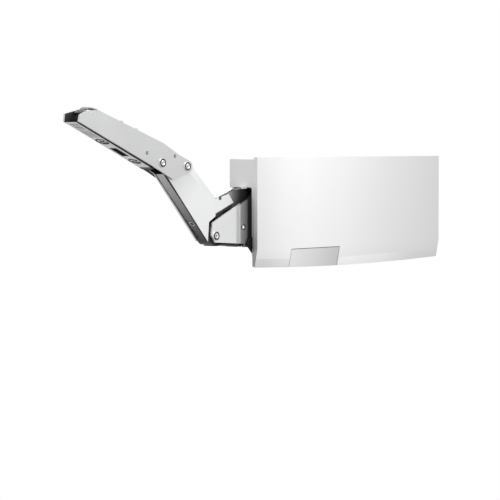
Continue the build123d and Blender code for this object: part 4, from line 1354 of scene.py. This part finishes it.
@dataclass
class FrontArm(Assembly):
    """The arm that clips to the door."""

    channel_edge: float = 0.35
    latch_edge: float = 0.2
    pin_edge: float = 0.12
    arch: tuple[float, float] = (-192.0, -177.0)
    arch_foot: float = 35.0
    arch_slope: float = -0.3
    # A dark sheet under the latch's arch, as painted shade.
    arch_shade_thick: float = 1.0
    arch_shade_edge: float = 0.02
    stake_ring: ShadeRing = ShadeRing(0.6, 1.35, 0.15)
    adjuster_ring: tuple[float, float, float] = (-0.9, 0.3, 0.3)
    adjuster_ring_deep: float = 0.45
    # A thin black rim round the tray's slot, as painted shade.
    rim_long: float = 16.8
    rim_wide: float = 7.2
    rim_wall: float = 1.4
    rim_height: float = 0.3
    rim_deep: float = 0.25
    rim_edge: float = 0.08

    def build(self) -> None:
        """Make and fit the arm's pieces."""
        looks = self.finishes
        self.fitter.refined("front_arm", "arm_channel", looks.arm, self.channel_edge)
        self.fitter.refined("adjuster_tray", "bracket_tray", looks.tray, self.pin_edge)
        self.latch_arch_shade()
        self.fitter.refined("release_latch", "nose_latch", looks.latch, self.latch_edge)
        for node, finish in (
            ("front_rivets", looks.rivet),
            ("stub_pins", looks.hard),
            ("latch_pin", looks.arm),
            ("height_cam", looks.screw),
            ("side_screw", looks.screw),
        ):
            self.fitter.refined(node, node + "_set", finish, self.pin_edge)
        self.shade_rings()
        self.fitter.carry(self.slot_shade_rim(), "adjuster_tray", looks.black, Slot.MOULDING)

    def shade_rings(self) -> None:
        """Fill the grooves of the rivets, and the edges of the staked pins and the adjusters, with painted
        shade.
        """
        for side in Side:
            for name, spot in (("outer_rivet", LAYOUT.outer_pivot), ("inner_rivet", LAYOUT.inner_pivot)):
                self.rivet_oil(name, "front_rivets", spot, LAYOUT.front_width, side)
        near_face = Side.NEAR.face(LAYOUT.front_width)
        for index, stake in enumerate(LAYOUT.stakes):
            self.oil(self.stake_ring, f"stake_oil_{index}", "stub_pins", LAYOUT.on_arm(*stake), near_face)
        inner, outer, height = self.adjuster_ring
        for node, along, radius in (
            ("height_cam", LAYOUT.height_cam, LAYOUT.height_cam_radius),
            ("side_screw", LAYOUT.side_screw, LAYOUT.side_screw_radius),
        ):
            ring = ShadeRing(radius + inner, radius + outer, height)
            seat = LAYOUT.into_tray(along, self.adjuster_ring_deep)
            self.oil(ring, f"{node}_oil", node, seat, LAYOUT.middle, LAYOUT.arm_down())

    def latch_arch_shade(self) -> None:
        """Line the underside of the latch's arch with a dark sheet of painted shade."""
        black, slope = self.finishes.black, self.arch_slope
        arch_shade = self.fitter.refined("release_latch", "latch_pad", black, self.arch_shade_edge, 1, Slot.MOULDING)
        left, right = (LAYOUT.place(x, 0.0, 0.0).x for x in self.arch)
        floor = LAYOUT.place(0.0, self.arch_foot, 0.0).z

        def off_arch(face: bpy.types.MeshPolygon) -> bool:
            """Whether a face isn't on the underside of the arch."""
            return not (left < face.center.x < right and face.center.z > floor and face.normal.z < slope)

        Bench.edit(arch_shade, Pick.FACES)
        Bench.pick_faces(arch_shade, off_arch)
        bpy.ops.mesh.delete(type="FACE")
        bpy.ops.object.mode_set(mode="OBJECT")
        wall = arch_shade.modifiers.new("wall", "SOLIDIFY")
        wall.thickness = self.arch_shade_thick * MILLIMETRE
        wall.offset = 1.0
        Bench.apply(arch_shade, wall)

    def slot_shade_rim(self) -> bpy.types.Object:
        """Line the tray's slot with a thin black rim of painted shade.

        Returns:
            The rim.
        """
        rim = Bench.flat_sheet("slot_shade_rim", self.rim_long, self.rim_wide)
        bpy.ops.mesh.inset(thickness=self.rim_wall * MILLIMETRE, depth=0.0)
        bpy.ops.mesh.delete(type="FACE")
        Bench.raise_all(self.rim_height)
        Bench.seal()
        rim.rotation_euler = LAYOUT.tray_turn().to_euler()
        rim.location = LAYOUT.place(*LAYOUT.into_tray(LAYOUT.tray_slot, self.rim_deep), LAYOUT.middle)
        Bench.settle(rim)
        Bench.soften(rim, self.rim_edge, 1)
        return rim


@dataclass
class PowerUnit(Assembly):
    """Springs, carriage and adjuster inside the housing."""

    spring_radius: float = 8.4
    wire: float = 2.2
    wire_sides: int = 10
    turn_steps: int = 28
    front_turns: int = 8
    rear_turns: int = 4
    edge: float = 0.2
    smooth_limit: float = math.radians(50.0)

    def build(self) -> None:
        """Make and fit the power unit's pieces."""
        looks = self.finishes
        for node, finish in (
            ("spring_carriage", looks.hard),
            ("roller_pins", looks.hard),
            ("cam_roller_far", looks.hard),
            ("cam_roller_near", looks.hard),
            ("damper_rod", looks.rivet),
            ("spring_abutment", looks.cast),
            ("adjusting_spindle", looks.hard),
        ):
            self.fitter.refined(node, node + "_piece", finish, self.edge, 1)
        self.springs()

    def springs(self) -> None:
        """Wind each spring in two fixed coils, though the carriage shortens the front one and the abutment the
        rear.
        """
        low, high = (Vector(corner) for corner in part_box("power_springs"))
        wire, radius = self.wire * MILLIMETRE, self.spring_radius * MILLIMETRE
        start, length = low.x + wire / 2, high.x - low.x - wire
        pitch = length / (self.front_turns + self.rear_turns)
        split = start + pitch * self.front_turns
        ends = (start + pitch / 4, split, start + length - pitch / 4)
        parts = (
            ("front", start, self.front_turns, ("carriage", "housing"), ends[:2]),
            ("rear", split, self.rear_turns, ("housing", "abutment"), ends[1:]),
        )
        for row, level in (("upper", high.z - radius), ("lower", low.z + radius)):
            for part, first, turns, bodies, reach in parts:
                coil = self.coil(f"{row}_spring_{part}", pitch, turns)
                coil.location = (first, (low.y + high.y) / 2, level)
                Bench.settle(coil)
                self.fitter.carry(coil, "power_springs", self.finishes.spring)
                coil.parent = None
                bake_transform(coil)

    def coil(self, name: str, pitch: float, turns: int) -> bpy.types.Object:
        """Wind one round wire along X.

        Args:
            name: The piece's name.
            pitch: The length of one turn, m.
            turns: How many turns it has.

        Returns:
            The coil, from X = 0 on.
        """
        Bench.clear()
        seat = (self.spring_radius - self.wire / 2) * MILLIMETRE
        bpy.ops.mesh.primitive_circle_add(
            vertices=self.wire_sides,
            radius=self.wire / 2 * MILLIMETRE,
            location=(0.0, 0.0, seat),
            rotation=(math.pi / 2, 0.0, 0.0),
        )
        coil = bpy.context.object
        coil.name = name
        Bench.settle(coil)
        winding = coil.modifiers.new("winding", "SCREW")
        winding.axis = "X"
        winding.angle = 2 * math.pi
        winding.screw_offset = pitch
        winding.iterations = turns
        winding.steps = winding.render_steps = self.turn_steps
        winding.use_smooth_shade = True
        Bench.apply(coil, winding)
        Bench.edit(coil, Pick.POINTS)
        bpy.ops.mesh.select_all(action="SELECT")
        bpy.ops.mesh.remove_doubles(threshold=MERGE_DISTANCE)
        bpy.ops.mesh.fill_holes(sides=0)
        Bench.seal()
        bpy.ops.object.shade_smooth_by_angle(angle=self.smooth_limit)
        return coil


@dataclass(frozen=True)
class Softbox:
    """A large soft square lamp that points at the object. Its measures are in metres and watts."""

    name: str
    spot: tuple[float, float, float]
    size: float
    power: float
    aim: tuple[float, float, float] = (-0.12, 0.0, 0.0)

    def hang(self) -> None:
        """Hang the lamp, out of the camera's sight."""
        data = bpy.data.lights.new(self.name, "AREA")
        data.shape = "SQUARE"
        data.size = self.size
        data.energy = self.power
        holder = bpy.data.objects.new(self.name, data)
        bpy.context.scene.collection.objects.link(holder)
        holder.location = self.spot
        holder.visible_camera = False
        way = Vector(self.aim) - Vector(self.spot)
        holder.rotation_euler = way.to_track_quat("-Z", "Y").to_euler()


@dataclass
class Studio:
    """Camera, lamps, floor and surroundings."""

    camera_spot: tuple[float, float, float] = (-1608.9, 13.13, 1278.0)
    focal_px: float = 2529.0
    image_px: float = 500.0
    sensor_mm: float = 36.0
    azimuth: float = math.radians(52.0)
    horizon_px: float = 141.0
    view_end: float = 50.0
    softboxes: tuple[Softbox, ...] = (
        Softbox("key_softbox", (-0.6, -0.7, 0.9), 0.8, 1.5),
        Softbox("front_softbox", (-0.20, -0.28, 0.26), 0.22, 1.0),
        Softbox("end_softbox", (-1.2, -0.1, 0.7), 0.8, 1.5),
        Softbox("top_softbox", (-0.3, 0.1, 1.4), 1.2, 6.0),
    )
    floor_size: float = 3.2
    floor_spot: tuple[float, float, float] = (-0.1, 0.0, -0.62)
    floor_tones: tuple[float, float] = (0.78, 0.82)
    floor_roughness: float = 0.8
    room_strength: float = 0.6

    def build(self) -> None:
        """Set up everything around the object."""
        self.camera()
        for softbox in self.softboxes:
            softbox.hang()
        self.floor()
        self.surroundings()
        bpy.context.scene.view_settings.view_transform = "Standard"

    def camera(self) -> None:
        """Place the camera at the photograph's viewing angle."""
        data = bpy.data.cameras.new("studio_camera")
        data.sensor_width = self.sensor_mm
        data.lens = self.sensor_mm * self.focal_px / self.image_px
        data.clip_end = self.view_end
        holder = bpy.data.objects.new("studio_camera", data)
        bpy.context.scene.collection.objects.link(holder)
        holder.location = LAYOUT.place(*self.camera_spot)
        pitch = math.atan((self.image_px / 2 - self.horizon_px) / self.focal_px)
        holder.rotation_euler = (math.pi / 2 - pitch, 0.0, -self.azimuth)
        bpy.context.scene.camera = holder

    def floor(self) -> None:
        """Lay a plain pale floor well below the object."""
        Bench.clear()
        bpy.ops.mesh.primitive_plane_add(size=self.floor_size, location=self.floor_spot)
        plane = bpy.context.object
        plane.name = "studio_floor"
        Bench.settle(plane)
        sheet = NodeSheet(bpy.data.materials.new("pale_floor"))
        tone = sheet.noise(sheet.coordinates(), 3.0, 2.0)
        colour = sheet.blend(tone, *(grey(level) for level in self.floor_tones))
        plane.data.materials.append(sheet.finish(Base_Color=colour, Roughness=self.floor_roughness))

    def surroundings(self) -> None:
        """Make the background white and keep the room's light plain."""
        world = bpy.data.worlds.new("studio_room")
        bpy.context.scene.world = world
        sheet = NodeSheet(world)
        camera, glossy, through = (
            sheet.node("ShaderNodeLightPath", output=f"Is {ray} Ray")
            for ray in ("Camera", "Glossy", "Transmission")
        )
        room, white = (
            sheet.node("ShaderNodeBackground", {}, {"Color": grey(1.0), "Strength": strength})
            for strength in (self.room_strength, 1.0)
        )
        mixed = sheet.node("ShaderNodeMixShader", {}, {0: camera | glossy | through, 1: room, 2: white})
        sheet.close("ShaderNodeOutputWorld", mixed)


def main() -> None:
    """Build the looks of the whole mechanism."""
    logging.basicConfig(level=logging.INFO, format="%(message)s")
    fitter = Fitter()
    finishes = Finishes()
    for assembly in (
        Housing(fitter, finishes),
        LeverChain(fitter, finishes),
        FrontArm(fitter, finishes),
        PowerUnit(fitter, finishes),
    ):
        assembly.build()
    Studio().build()


if __name__ == "__main__":
    main()
